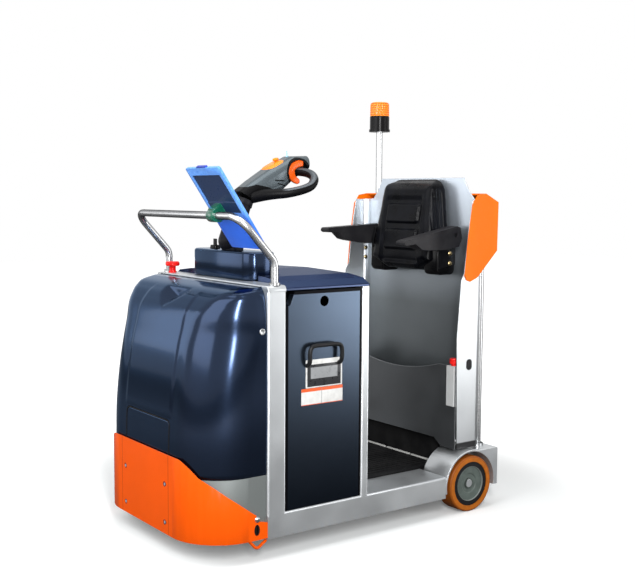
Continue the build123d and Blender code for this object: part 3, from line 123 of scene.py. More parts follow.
def ramp(tree, source, low, high, to_low=0.0, to_high=1.0, **values):
    """Maps low..high of a value to to_low..to_high, held at both ends."""
    return node(tree, "MapRange", source, low, high, to_low, to_high, **values).outputs["Result"]


def calc(tree, operation, *sources):
    """A maths node over sockets or values."""
    return node(tree, "Math", *sources, operation=operation).outputs[0]


def times(tree, first, *others):
    """The product of sockets or values."""
    for other in others:
        first = calc(tree, "MULTIPLY", first, other)
    return first


def tint(tree, share, first, second, way="MIX"):
    """Mixes two colours by a share."""
    made = node(tree, "Mix", share, data_type="RGBA", blend_type=way)
    wire(first, made.inputs[6])
    wire(second, made.inputs[7])
    return made.outputs[2]


def blend(tree, source, low, high, first, second):
    """Goes from a first colour to a second as a value goes from low to high."""
    return tint(tree, ramp(tree, source, low, high), first, second)


def material(name, color, **sockets):
    """A material with its shader's own sockets held; returns material, tree and shader."""
    made = bpy.data.materials.new(name)
    made.use_nodes = True
    shader = made.node_tree.nodes["Principled BSDF"]
    feed(shader, Base_Color=color, **sockets)
    return made, made.node_tree, shader


floor_data = bpy.data.meshes.new("floor")
floor_data.from_pydata(
    [(-floor_half, -floor_half, 0), (floor_half, -floor_half, 0),
     (floor_half, floor_half, 0), (-floor_half, floor_half, 0)],
    [], [(0, 1, 2, 3)],
)
floor = bpy.data.objects.new("floor", floor_data)
bpy.context.scene.collection.objects.link(floor)
floor_paper, tree, shader = material(
    "floor_paper", (0.93, 0.95, 0.95), Roughness=0.95, Specular_IOR_Level=0.0, Emission_Color=(1, 1, 1)
)
reach = node(tree, "VectorMath", own_place(tree), operation="LENGTH").outputs["Value"]
seen = node(tree, "LightPath").outputs["Is Camera Ray"]
glow = ramp(tree, reach, shade_radius, bright_radius, 0.10, 1.0, interpolation_type="SMOOTHSTEP")
# painted shade: the floor is grey close by for every ray but the camera's
mirrored_shade = ramp(tree, reach, *mirror_radii, near_shade_grey, far_white, interpolation_type="SMOOTHSTEP")
feed(shader, Emission_Strength=times(tree, seen, glow),
     Base_Color=tint(tree, seen, mirrored_shade, (0.93, 0.95, 0.95)))
floor_data.materials.append(floor_paper)

# ---- world and lamps -------------------------------------------------------------------
# A white studio: a weak even light from all round, a high key light ahead of the machine, a tall
# soft box that draws the streaks on its left side, and weaker ones to its right, behind and above.
world = bpy.data.worlds.new("soft_white")
bpy.context.scene.world = world
world.use_nodes = True
tree = world.node_tree
even_light = tree.nodes["Background"]
feed(even_light, Color=(1, 1, 1), Strength=0.20)
seen_light = node(tree, "Background", Color=(1, 1, 1), Strength=1.0)
ray = node(tree, "LightPath").outputs
seen = calc(tree, "MAXIMUM", ray["Is Camera Ray"], ray["Is Glossy Ray"])
seen = calc(tree, "MAXIMUM", seen, ray["Is Transmission Ray"])
mixed = node(tree, "MixShader", seen, even_light.outputs[0], seen_light.outputs[0])
feed(tree.nodes["World Output"], Surface=mixed.outputs[0])

soft_boxes = (  # name, place, aim, width, height, watts
    ("key_box", (3.3, 0.0, 2.45), (0.3, 0.0, 0.6), 3.0, 3.4, 92.0),
    ("tall_box", (2.02, 3.5, 1.95), (0.35, 0.3, 0.8), 0.38, 2.4, 165.0),
    ("right_box", (1.95, -1.8, 1.25), (0.6, 0.0, 0.75), 0.9, 1.1, 6.5),
    ("rear_box", (-2.3, 2.7, 0.85), (-0.1, 0.3, 0.7), 1.2, 1.6, 28.0),
    ("top_box", (0.0, 0.4, 4.0), (0.0, 0.0, 0.5), 3.0, 2.4, 58.0),
)
for name, place, aim, box_width, box_height, watts in soft_boxes:
    lamp_data = bpy.data.lights.new(name, "AREA")
    lamp_data.shape = "RECTANGLE"
    lamp_data.size, lamp_data.size_y = box_width, box_height
    lamp_data.energy = watts
    lamp = bpy.data.objects.new(name, lamp_data)
    bpy.context.scene.collection.objects.link(lamp)
    lamp.location = place
    lamp.rotation_euler = (Vector(aim) - Vector(place)).to_track_quat("-Z", "Y").to_euler()

# ---- side frames, wheel boxes, rear beam, bridge and apron: the welded chassis ---------
# Folded and welded 5 mm sheet steel, powder coated in a silver with fine metal flakes. Every
# folded or cut edge is slightly rounded, and the corners are rubbed a little brighter.
edge_round, rub_reach = 0.0014, 0.002


def apart(tree, vector):
    """The X, Y and Z of a vector."""
    return node(tree, "SeparateXYZ", vector).outputs


def noise(tree, scale, detail, **values):
    """A cloudy noise over the object's own coordinates."""
    return node(tree, "TexNoise", own_place(tree), Scale=scale, Detail=detail, **values).outputs["Fac"]


def dimmed(tree, color, share):
    """A colour times a number."""
    return node(tree, "VectorMath", color, operation="SCALE", Scale=share).outputs[0]


def bump(tree, height, strength, distance, **values):
    """A normal that follows a height."""
    return node(tree, "Bump", Strength=strength, Distance=distance, Height=height, **values).outputs[0]


def new_group(name, inputs, outputs):
    """An empty shader node group: its tree, the sockets it is given, and its output node. A socket is
    a colour, a direction or a place by its name, and a number otherwise."""
    group = bpy.data.node_groups.new(name, "ShaderNodeTree")
    for labels, in_out in ((inputs, "INPUT"), (outputs, "OUTPUT")):
        for label in labels:
            kind = "Vector" if label in ("Normal", "Centre") else "Float"
            kind = "Color" if label.endswith("Color") else kind
            group.interface.new_socket(name=label, in_out=in_out, socket_type="NodeSocket" + kind)
    return group, group.nodes.new("NodeGroupInput").outputs, group.nodes.new("NodeGroupOutput")


# powder coat: a cellular flake that lightens the colour, and a long soft ripple in the surface
powder, given, gives = new_group("powder_coat", ("Color", "Flake", "Ripple"), ("Color", "Roughness", "Normal"))
flake = node(powder, "TexVoronoi", own_place(powder), Scale=1400.0).outputs["Color"]
cloud = noise(powder, 7.0, 3.0)
share = calc(powder, "MULTIPLY_ADD", ramp(powder, flake, 0.0, 1.0, -1.0, 1.0), given["Flake"],
             ramp(powder, cloud, 0.3, 0.7, 0.955, 1.03))
feed(gives, Color=dimmed(powder, given["Color"], share),
     Roughness=ramp(powder, cloud, 0.3, 0.7, 0.30, 0.42),
     Normal=bump(powder, noise(powder, 210.0, 2.0), given["Ripple"], 0.0004))

# rubbed edges: where the rounded normal leaves the flat one, broken up by a noise
rubbed, given, gives = new_group("rubbed_edges", ("Color", "Edge Color", "Amount", "Reach"), ("Color",))
soft = node(rubbed, "Bevel", given["Reach"], samples=4).outputs[0]
flat = node(rubbed, "NewGeometry").outputs["Normal"]
agree = node(rubbed, "VectorMath", soft, flat, operation="DOT_PRODUCT").outputs["Value"]
mask = times(rubbed, ramp(rubbed, agree, 0.995, 0.90), ramp(rubbed, noise(rubbed, 90.0, 4.0), 0.35, 0.65),
             given["Amount"])
feed(gives, Color=tint(rubbed, mask, given["Color"], given["Edge Color"]))


def painted(name, color, edge_color, flake=0.08, ripple=0.1, rub=0.5, **sockets):
    """Painted metal: the powder coat's colour, roughness and ripple, with rubbed edges."""
    made, tree, shader = material(name, color, **sockets)
    coat = node(tree, "Group", node_tree=powder, Color=color, Flake=flake, Ripple=ripple).outputs
    worn = node(tree, "Group", node_tree=rubbed, Color=coat["Color"], Edge_Color=edge_color,
                Amount=rub, Reach=rub_reach).outputs
    feed(shader, Base_Color=worn["Color"], Normal=coat["Normal"])
    if "Roughness" not in sockets:
        feed(shader, Roughness=coat["Roughness"])
    return made


def opened(finish):
    """A painted finish's tree, shader and colour, for a pattern to be laid over it."""
    shader = finish.node_tree.nodes["Principled BSDF"]
    return finish.node_tree, shader, shader.inputs["Base Color"].links[0].from_socket


def silver(name):
    """The chassis coat: silver powder with metal flakes."""
    return painted(name, (0.54, 0.56, 0.575), (0.74, 0.75, 0.76), flake=0.09, Metallic=0.78)


def modify(piece, kind, **values):
    """A new modifier with its settings."""
    made = piece.modifiers.new(kind.lower(), kind)
    for label, value in values.items():
        setattr(made, label, value)
    return made


def dress(names, finish, rounding=edge_round, angle=32.0):
    """Gives CAD nodes a finish, and rounds their sharp edges with modifiers."""
    for name in names:
        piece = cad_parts[name]
        piece.data.materials.clear()
        piece.data.materials.append(finish)
        if rounding:
            modify(piece, "WELD", merge_threshold=0.00002)
            modify(piece, "DECIMATE", decimate_type="DISSOLVE", angle_limit=math.radians(0.6))
            modify(piece, "BEVEL", width=rounding, segments=2, limit_method="ANGLE",
                   angle_limit=math.radians(angle), harden_normals=True)


frame_silver = silver("frame_silver")
dress(
    ("side_frame_left", "side_frame_right", "wheel_box_left", "wheel_box_right", "rear_beam",
     "top_bridge", "axle_stub_left", "axle_stub_right"),
    frame_silver,
)
apron_grey = painted("apron_grey", (0.150, 0.165, 0.162), (0.5, 0.5, 0.5), flake=0.09, Metallic=0.3,
                     Roughness=0.55)
dress(("front_apron",), apron_grey)

# ---- rear wheels -----------------------------------------------------------------------
# Solid orange polyurethane bonded to a black cast rim, with a grey disc over the bearing. The
# tread's shoulders are turned, and the rubber is a little darker where it rolls.
axle_x, axle_z = -0.485, 0.105
disc_radius, ridge_rate = 0.064, 900.0

# turned rings: distance from an axle that lies across the machine, and ridges at even steps of it
turned, given, gives = new_group("turned_rings", ("Centre", "Ridges"), ("Distance", "Ridge"))
offset = node(turned, "VectorMath", own_place(turned), given["Centre"], operation="SUBTRACT").outputs[0]
offset = node(turned, "VectorMath", offset, (1.0, 0.0, 1.0), operation="MULTIPLY").outputs[0]
distance = node(turned, "VectorMath", offset, operation="LENGTH").outputs["Value"]
feed(gives, Distance=distance, Ridge=calc(turned, "SINE", times(turned, distance, given["Ridges"])))


def wheel_finish(name, centre, bands, roughness=0.5, ridges=0.25, **sockets):
    """Turned finish: bands of colour by distance from the axle, each up to its outer radius."""
    made, tree, shader = material(name, bands[0][1], Roughness=roughness, **sockets)
    rings = node(tree, "Group", node_tree=turned, Centre=centre, Ridges=ridge_rate).outputs
    color = bands[0][1]
    for (radius, _), (_, outer) in zip(bands, bands[1:]):
        share = ramp(tree, rings["Distance"], radius - 0.0004, radius + 0.0004)
        color = tint(tree, share, color, outer)
    cloud = ramp(tree, noise(tree, 38.0, 5.0), 0.35, 0.7, 0.78, 1.05)
    feed(shader, Base_Color=dimmed(tree, color, cloud),
         Normal=bump(tree, rings["Ridge"], ridges, 0.0003))
    return made


wheel_centre = (axle_x, 0.0, axle_z)
outermost = 0.2                  # past every wheel's rim
tread_orange, shoulder_orange = (0.46, 0.125, 0.006), (0.30, 0.075, 0.005)
tyre_orange = wheel_finish(
    "tyre_orange", wheel_centre, ((0.0985, tread_orange), (outermost, shoulder_orange)),
    Specular_IOR_Level=0.25,
)
hub_grey = wheel_finish(
    "hub_grey", wheel_centre,
    ((0.0195, (0.085, 0.105, 0.095)), (0.0205, (0.04, 0.045, 0.042)),
     (disc_radius - 0.0006, (0.105, 0.13, 0.118)), (disc_radius + 0.0012, (0.22, 0.24, 0.23)),
     (outermost, (0.006, 0.006, 0.007))),
    roughness=0.42, ridges=0.4, Specular_IOR_Level=0.2,
)
dress(("rear_tyre_left", "rear_tyre_right"), tyre_orange, rounding=0)
dress(("rear_hub_left", "rear_hub_right"), hub_grey, rounding=0.0008)

# ---- step: floor plate and ribbed mat --------------------------------------------------
# A floor plate between the sills, rubber-covered, carries a black mat with moulded lengthwise ribs.
# Pale strips lie in short lengths behind the mat, and a dark toe plate closes the space under the
# pocket.
mat_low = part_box("platform_mat")[0]

rubber, given, gives = new_group("worn_rubber", ("Color", "Dust Color", "Dust", "Grain"),
                                 ("Color", "Roughness", "Height"))
patches = noise(rubber, 11.0, 7.0, Roughness=0.62)
dusty = times(rubber, ramp(rubber, patches, 0.42, 0.72), given["Dust"])
feed(gives, Color=tint(rubber, dusty, given["Color"], given["Dust Color"]),
     Roughness=ramp(rubber, patches, 0.35, 0.7, 0.55, 0.85), Height=noise(rubber, given["Grain"], 2.0))


def rubbery(name, color, dust_color=(0.16, 0.16, 0.155), dust=0.12, grain=600.0, depth=0.0002, **sockets):
    """Moulded rubber or textured plastic: dusty patches and a fine grain."""
    made, tree, shader = material(name, color, **{"Specular_IOR_Level": 0.16, **sockets})
    skin = node(tree, "Group", node_tree=rubber, Color=color, Dust_Color=dust_color,
                Dust=dust, Grain=grain).outputs
    feed(shader, Base_Color=skin["Color"], Normal=bump(tree, skin["Height"], 0.5, depth))
    if "Roughness" not in sockets:
        feed(shader, Roughness=skin["Roughness"])
    return made


mat_rubber = rubbery("mat_rubber", (0.007, 0.007, 0.0075), dust_color=(0.03, 0.03, 0.03), dust=0.5,
                     grain=420.0, Specular_IOR_Level=0.08)
dress(("platform_floor",), mat_rubber)
dress(("platform_mat",), mat_rubber, rounding=0.0012)


def smoothed(data):
    """Shades all of a mesh's faces smooth."""
    data.polygons.foreach_set("use_smooth", [True] * len(data.polygons))


def grid_piece(name, points, finish, body="chassis", closed=False, capped=False):
    """A smooth mesh over a grid of points (rows, columns, 3): closed round its columns, and capped
    at its first and last row, where asked."""
    rows, columns = points.shape[:2]
    index = np.arange(rows * columns).reshape(rows, columns)
    caps = [index[0].tolist(), index[-1].tolist()] if capped else []
    if closed:
        index = np.hstack([index, index[:, :1]])
    quads = np.stack([index[:-1, :-1], index[:-1, 1:], index[1:, 1:], index[1:, :-1]], axis=-1)
    faces = quads.reshape(-1, 4).tolist() + caps
    data = bpy.data.meshes.new(name)
    data.from_pydata(points.reshape(-1, 3).tolist(), [], faces)
    smoothed(data)
    mesh = bmesh.new()
    mesh.from_mesh(data)
    bmesh.ops.recalc_face_normals(mesh, faces=mesh.faces)
    mesh.to_mesh(data)
    mesh.free()
    data.materials.append(finish)
    piece = bpy.data.objects.new(name, data)
    bpy.context.scene.collection.objects.link(piece)
    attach(piece, body)
    return piece


def ahead(distance):
    """Metres from the axle to the frame's X."""
    return axle_x + distance


def block(name, low, high, corner, edge, finish, through=2):
    """A flat block with rounded corners in outline and rounded rims, thick along one axis."""
    order = [axis for axis in range(3) if axis != through] + [through]
    low, high = np.array(low, float)[order], np.array(high, float)[order]
    arc = np.linspace(0, np.pi / 2, 4)
    inset = np.concatenate([1 - np.sin(arc), 1 - np.cos(arc)]) * edge
    level = np.concatenate([low[2] + (1 - np.cos(arc)) * edge, high[2] - (1 - np.sin(arc)) * edge])
    turn = (np.arange(24) + 0.5) * (np.pi / 12)
    out = np.stack([np.cos(turn), np.sin(turn)], axis=-1)
    flat = (high - low)[:2] / 2 - corner
    ring = (low[:2] + high[:2]) / 2 + np.sign(out) * flat + out * (corner - inset[:, None, None])
    points = np.concatenate([ring, np.broadcast_to(level[:, None, None], (8, 24, 1))], axis=-1)
    world_points = np.empty_like(points)
    world_points[..., order] = points
    return grid_piece(name, world_points, finish, closed=True, capped=True)


strip_white = rubbery("strip_white", (0.62, 0.62, 0.60), dust_color=(0.3, 0.3, 0.29), dust=0.3, grain=900.0)
strip_length, strip_gap, strip_width, strip_high = 0.136, 0.012, 0.010, 0.0140
strip_count, mat_gap = 3, 0.002
strip_y = np.arange(strip_count) * (strip_length + strip_gap)
strip_y = strip_y - strip_y.mean()
for number, middle in enumerate(strip_y):
    block(f"mat_strip_{number}",
          (mat_low.x - strip_width - mat_gap, middle - strip_length / 2, mat_low.z),
          (mat_low.x - mat_gap, middle + strip_length / 2, mat_low.z + strip_high),
          0.002, 0.0006, strip_white)
toe_half, toe_top = 0.2200, 0.3000
block("toe_plate", (ahead(0.0180), -toe_half, mat_low.z), (ahead(0.0230), toe_half, toe_top),
      0.002, 0.0008, mat_rubber, through=0)

# ---- tow hitch -------------------------------------------------------------------------
# A flame-cut steel jaw in three tiers, painted dark, bolted to the beam. The drop pin is bright.
cast_dark = painted("cast_dark", (0.055, 0.056, 0.06), (0.25, 0.25, 0.25), flake=0.05, rub=0.7, Metallic=0.1)
bright_steel, tree, shader = material(
    "bright_steel", (0.46, 0.465, 0.47), Metallic=1.0, Roughness=0.27, Specular_Tint=(0.02, 0.02, 0.02)
)
feed(shader,
     Base_Color=blend(tree, noise(tree, 9.0, 3.0), 0.3, 0.7, (0.46, 0.47, 0.48),
                     (0.57, 0.575, 0.58)),
     Roughness=ramp(tree, noise(tree, 420.0, 2.0), 0.3, 0.7, 0.20, 0.34))
dress(("tow_hitch",), cast_dark, rounding=0.0018)
dress(("tow_pin",), bright_steel, rounding=0.001)

# ---- backrest with its pocket ----------------------------------------------------------
# One folded sheet makes the panel and both wings, coated as the chassis is; a second one, with a
# sagging lip and a darker grey coat, closes the pocket. The shell's forward faces are darker towards the foot,
# as painted shade and dust, and lighter and bluer towards the top, as painted light.
panel_grey = painted("panel_grey", (0.17, 0.18, 0.19), (0.60, 0.61, 0.62), flake=0.09, rub=0.8, Metallic=0.85)
shell_silver = silver("shell_silver")
tree, shader, clean = opened(shell_silver)
height = apart(tree, own_place(tree))["Z"]
inner = ramp(tree, apart(tree, node(tree, "NewGeometry").outputs["Normal"])["X"], 0.5, 0.9)
# painted shade and light on forward faces: darker towards the foot, lighter and bluer towards the top
shade_dust_and_light = blend(tree, height, 0.75, 1.20, (0.30, 0.32, 0.33), (1.05, 1.12, 1.22))
shaded = tint(tree, 1.0, clean, tint(tree, inner, (1, 1, 1), shade_dust_and_light), "MULTIPLY")
foot_band = ramp(tree, height, 0.262, 0.258)       # a dark strip along the foot of the sheet
feed(shader, Base_Color=tint(tree, foot_band, shaded, (0.006, 0.006, 0.007)),
     Metallic=ramp(tree, foot_band, 0.0, 1.0, 0.78, 0.0))
dress(("backrest_shell",), shell_silver, rounding=0.0012)
dress(("pocket_front",), panel_grey, rounding=0.0009)
grommet_rubber = rubbery("grommet_rubber", (0.02, 0.02, 0.021), dust=0.1, grain=700.0)
sides = (("left", 1), ("right", -1))


def side_block(name, x_range, out_range, z_range, corner, edge, finish, sign=1):
    """A block that is thick across the machine, so far out from the middle on one side."""
    low_y, high_y = sorted(sign * out for out in out_range)
    return block(name, (x_range[0], low_y, z_range[0]), (x_range[1], high_y, z_range[1]), corner, edge,
                 finish, through=1)


wing_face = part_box("backrest_shell")[1].y
for side, sign in sides:
    side_block(f"wing_grommet_{side}", (ahead(-0.0185), ahead(0.0085)),
               (wing_face - 0.0005, wing_face + 0.0022), (0.5315, 0.5725), 0.0132, 0.0010,
               grommet_rubber, sign)

# ---- jog switch ------------------------------------------------------------------------
# A pale moulded box in the pocket's corner, with a glossy red mushroom button on top.
box_light = rubbery("box_light", (0.55, 0.56, 0.56), dust_color=(0.35, 0.35, 0.34), dust=0.25, Roughness=0.45)
red_plastic, tree, shader = material(
    "red_plastic", (0.62, 0.004, 0.010), Roughness=0.2, Specular_IOR_Level=0.16
)
feed(shader, Base_Color=tint(tree, ramp(tree, noise(tree, 60.0, 3.0), 0.35, 0.65),
                             (0.62, 0.006, 0.006), (0.85, 0.02, 0.015)))
dress(("jog_box",), box_light, rounding=0)
dress(("jog_button",), red_plastic, rounding=0)

# ---- rear cover ------------------------------------------------------------------------
# A moulded orange cover hooked over the top of the backrest, with a raised rim along its front edge.
moulded, given, gives = new_group("moulded_gloss", ("Color", "Deep Color", "Wave"),
                                  ("Color", "Roughness", "Normal"))
swell = ramp(moulded, noise(moulded, 4.0, 2.0), 0.35, 0.65)
waves = noise(moulded, 130.0, 3.0)
feed(gives, Color=tint(moulded, swell, given["Color"], given["Deep Color"]),
     Roughness=ramp(moulded, waves, 0.3, 0.7, 0.16, 0.30),
     Normal=bump(moulded, waves, given["Wave"], 0.0006))


def gloss_plastic(name, color, deep, wave=0.12, **sockets):
    """Glossy moulded plastic: a slow change of depth of colour, and a faint waviness."""
    made, tree, shader = material(name, color, **{"Specular_IOR_Level": 0.2, **sockets})
    skin = node(tree, "Group", node_tree=moulded, Color=color, Deep_Color=deep,
                Wave=wave).outputs
    feed(shader, Base_Color=skin["Color"], Roughness=skin["Roughness"], Normal=skin["Normal"])
    return made


orange_plastic = gloss_plastic(
    "orange_plastic", (0.97, 0.185, 0.006), (0.93, 0.160, 0.004), Specular_IOR_Level=0.05
)
dress(("rear_cover",), orange_plastic, rounding=0.0016)

# ---- rear poles and beacon -------------------------------------------------------------
# Bright steel tubes in sockets on the wheel boxes. The beacon has a black plastic case and a fluted
# lens of clear orange plastic, blow-moulded with fine rings; with no lamp inside, its colour is also given off
# as a faint painted glow.
dress(("support_pole", "beacon_pole"), bright_steel, rounding=0)
black_plastic = rubbery("black_plastic", (0.003, 0.003, 0.0035), dust=0.01, grain=700.0, Roughness=0.22,
                        Specular_IOR_Level=0.13)
dress(("beacon_base",), black_plastic, rounding=0)
lens_low, lens_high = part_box("beacon_lens")
lens_centre = (lens_low + lens_high) / 2
lens_radius = (lens_high.x - lens_low.x) / 2
lens_height = lens_high.z - lens_low.z
flutes, flute_depth, ring_rate = 36, 0.0011, 700.0

lens_turn = np.linspace(0, 2 * np.pi, flutes * 8, endpoint=False)
lens_rise = np.array([0, .001, .003, .05, .1, .3, .5, .7, .8, .87, .93, .965, .99, 1.0, 1.0, 1.0])
lens_reach = np.array([.9, .98, 1, 1, 1, .995, .99, .985, .98, .965, .93, .88, .80, .70, .4, .01])
fluted = np.interp(lens_rise, [0, .02, .8, .95], [0, 1, 1, 0])
# radius at a height and turn: the profile's reach, less a cosine flute
lens_r = lens_radius * lens_reach[:, None] \
    - flute_depth * fluted[:, None] * (0.5 - 0.5 * np.cos(flutes * lens_turn))
lens_points = np.stack([
    lens_centre.x + lens_r * np.cos(lens_turn),
    lens_centre.y + lens_r * np.sin(lens_turn),
    np.broadcast_to((lens_low.z + lens_rise * lens_height)[:, None], lens_r.shape),
], axis=-1)
beacon_orange, tree, shader = material(
    "beacon_orange", (1.0, 0.13, 0.008), Roughness=0.14, Emission_Strength=0.10, Specular_IOR_Level=0.3,
)
rings = calc(tree, "SINE", times(tree, apart(tree, own_place(tree))["Z"], ring_rate))
# the rings' colours, also given off as a faint painted glow
glow = blend(tree, rings, -1.0, 1.0, (0.85, 0.10, 0.004), (1.0, 0.33, 0.02))
feed(shader, Base_Color=glow, Emission_Color=glow)
lens = grid_piece("beacon_lens_fluted", lens_points, beacon_orange, closed=True)
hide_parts("beacon_lens")

# ---- lean seat -------------------------------------------------------------------------
# A steel bracket plate carries a foam pad in glossy black leatherette: a full bolster all round, two
# raised panels sunk in its face, and pleats down each side. Black moulded flanks close its lower
# sides, and two bolted brackets hold the arms.
pad_low, pad_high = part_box("seat_pad")
pad_swell = 0.008       # the most that the foam swells past its cut shape
pad_foot = 0.885
panel_half, panel_corner = 0.094, 0.014
panel_heights = ((0.968, 1.049), (1.070, 1.148))   # foot and top of each raised panel
field_foot, field_top, field_half = 0.930, 1.160, 0.094
panel_rise, field_sink = 0.0115, 0.0125
bolster = 0.040                                     # radius of the pad's rounded rim
cloth_steps, taut_rounds, taut_share = 20, 70, 0.8
pleat_start, pleat_step, pleat_wide, pleat_deep, pleat_last = 0.020, 0.017, 0.0022, 0.0026, 3

seat_vinyl, tree, shader = material(
    "seat_vinyl", (0.0025, 0.0028, 0.004), Roughness=0.27, Specular_IOR_Level=0.075,
)
leather = node(tree, "TexVoronoi", own_place(tree), Scale=420.0, feature="DISTANCE_TO_EDGE").outputs["Distance"]
creased = noise(tree, 16.0, 5.0)
pores = bump(tree, ramp(tree, leather, 0.0, 0.12), 0.25, 0.0002)
feed(shader,
     Base_Color=blend(tree, creased, 0.35, 0.7, (0.002, 0.0022, 0.003),
                     (0.005, 0.0055, 0.008)),
     Roughness=ramp(tree, creased, 0.3, 0.7, 0.24, 0.37),
     Normal=bump(tree, creased, 0.35, 0.0012, Normal=pores))


def soft_step(value, low, high):
    """0 below low, 1 above high, and a smooth cubic between."""
    share = np.clip((value - low) / (high - low), 0.0, 1.0)
    return share * share * (3 - 2 * share)


def past_panel(across, up, corner):
    """Signed distance to a round-cornered panel, from how far a point is past its straight edges."""
    beyond = np.stack([across, up]) + corner
    return np.linalg.norm(np.maximum(beyond, 0), axis=0) + np.minimum(beyond.max(axis=0), 0) - corner


def rows_of(data, label="co"):
    """A mesh's points, or their normals, as an array of rows."""
    flat = np.empty(3 * len(data.vertices))
    data.vertices.foreach_get(label, flat)
    return flat.reshape(-1, 3)


def settle(piece):
    """Applies a piece's modifiers by taking the evaluated mesh."""
    shown = bpy.context.evaluated_depsgraph_get()
    data = bpy.data.meshes.new_from_object(piece.evaluated_get(shown))
    old = piece.data
    piece.modifiers.clear()
    piece.data = data
    bpy.data.meshes.remove(old)
    smoothed(data)


seat_pad = bpy.data.objects.new("seat_pad_leather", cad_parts["seat_pad"].data.copy())
bpy.context.scene.collection.objects.link(seat_pad)
seat_pad.data.materials.clear()
seat_pad.data.materials.append(seat_vinyl)
modify(seat_pad, "WELD", merge_threshold=0.00005)
modify(seat_pad, "REMESH", mode="VOXEL", voxel_size=0.005)
settle(seat_pad)
modify(seat_pad, "SMOOTH", factor=0.5, iterations=14)
settle(seat_pad)
cut_points = rows_of(seat_pad.data)
# the bolster: the front edge is drawn back by a quarter circle of its distance to the outline
pad_outline = np.array([(0.092, 0.885), (0.178, 0.925), (0.178, 1.000), (0.152, 1.241),
                        (-0.152, 1.241), (-0.178, 1.000), (-0.178, 0.925), (-0.092, 0.885)])
flat_points = cut_points[:, 1:]
inside = np.full(len(flat_points), 1.0)
for first, second in zip(pad_outline, np.roll(pad_outline, -1, axis=0)):
    run = second - first
    share = np.clip(((flat_points - first) @ run) / (run @ run), 0, 1)
    inside = np.minimum(inside, np.linalg.norm(flat_points - first - share[:, None] * run, axis=1))
fall = bolster - np.sqrt(bolster ** 2 - (bolster - np.minimum(inside, bolster)) ** 2)
front_x = axle_x + np.interp(cut_points[:, 2] - pad_foot, (-0.001, 0.045, 0.175, 0.325, 0.351, 0.357),
                             (0.056, 0.060, 0.046, 0.020, 0.008, -0.002))
depth = np.clip((cut_points[:, 0] - pad_low.x) / np.maximum(front_x - pad_low.x, 0.01), 0, 1)
cut_points[:, 0] = pad_low.x + depth * np.maximum(front_x - fall - pad_low.x, 0.004)
back_share = soft_step(cut_points[:, 0], pad_low.x + 0.004, pad_low.x + 0.022)
cut_points -= rows_of(seat_pad.data, "normal") * (0.0055 * back_share)[:, None]
seat_pad.data.vertices.foreach_set("co", cut_points.ravel())
seat_pad.data.update()

held = seat_pad.vertex_groups.new(name="held")
back = [int(n) for n in np.nonzero(back_share < 0.5)[0]]
held.add(back, 1.0, "REPLACE")
cloth = modify(seat_pad, "CLOTH")
foam = cloth.settings
foam.use_pressure, foam.uniform_pressure_force = True, 4.0
foam.quality, foam.mass = 6, 0.3
foam.tension_stiffness = foam.compression_stiffness = 22.0
foam.bending_stiffness = 1.5
foam.vertex_group_mass = "held"
foam.effector_weights.gravity = 0.0
cloth.collision_settings.use_collision = False
for step in range(1, cloth_steps + 1):
    bpy.context.scene.frame_set(step)
settle(seat_pad)
bpy.context.scene.frame_set(1)
moved = rows_of(seat_pad.data) - cut_points
far = np.linalg.norm(moved, axis=1, keepdims=True)
shift = moved * np.minimum(1.0, pad_swell / np.maximum(far, 1e-9))
# taut leatherette: each point takes the mean movement of its neighbours, again and again
edge_ends = np.empty(2 * len(seat_pad.data.edges), dtype=np.int32)
seat_pad.data.edges.foreach_get("vertices", edge_ends)
one_end, other_end = edge_ends.reshape(-1, 2).T
count = len(shift)
met = np.bincount(one_end, minlength=count) + np.bincount(other_end, minlength=count)
for _ in range(taut_rounds):
    for axis in range(3):
        near = np.bincount(one_end, shift[other_end, axis], count) \
            + np.bincount(other_end, shift[one_end, axis], count)
        shift[:, axis] = 0.4 * shift[:, axis] + 0.6 * near / np.maximum(met, 1)
    shift *= back_share[:, None]
seat_pad.data.vertices.foreach_set("co", (cut_points + taut_share * shift).ravel())

modify(seat_pad, "SUBSURF", levels=1, render_levels=1)
settle(seat_pad)
pad_points = rows_of(seat_pad.data)
pad_normals = rows_of(seat_pad.data, "normal")
px, py, pz = pad_points.T
facing = soft_step(pad_normals[:, 0], 0.55, 0.85)
# sunk field: inside a rounded box in Y and Z
field = (1 - soft_step(np.abs(py), field_half, field_half + 0.022)) \
    * soft_step(pz, field_foot - 0.02, field_foot) \
    * (1 - soft_step(pz, field_top - 0.006, field_top + 0.030))
raised = np.zeros(len(px))
for panel_foot, panel_top in panel_heights:
    middle, half = (panel_foot + panel_top) / 2, (panel_top - panel_foot) / 2
    outside = past_panel(np.abs(py) - panel_half, np.abs(pz - middle) - half, panel_corner)
    raised = np.maximum(raised, 1 - soft_step(outside, -0.009, 0.002))
pad_points[:, 0] += facing * (panel_rise * raised - field_sink * field)
# pleats: sewn grooves down the sides at even steps ahead of the back
sideways = soft_step(np.abs(pad_normals[:, 1]), 0.6, 0.85)
pleat_at = (px - pad_low.x - pleat_start) / pleat_step
nearest = np.round(pleat_at)
pleat = np.exp(-((pleat_at - nearest) * pleat_step / pleat_wide) ** 2)
pleat = pleat * (nearest >= 0) * (nearest <= pleat_last)
pleat *= soft_step(pz, pad_low.z + 0.05, pad_low.z + 0.10) \
    * (1 - soft_step(pz, pad_high.z - 0.07, pad_high.z - 0.03))
pad_points[:, 1] -= np.sign(py) * sideways * pleat * pleat_deep
pad_points = np.clip(pad_points, np.array(pad_low), np.array(pad_high))
seat_pad.data.vertices.foreach_set("co", pad_points.ravel())
seat_pad.data.update()
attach(seat_pad, "chassis")
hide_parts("seat_pad")

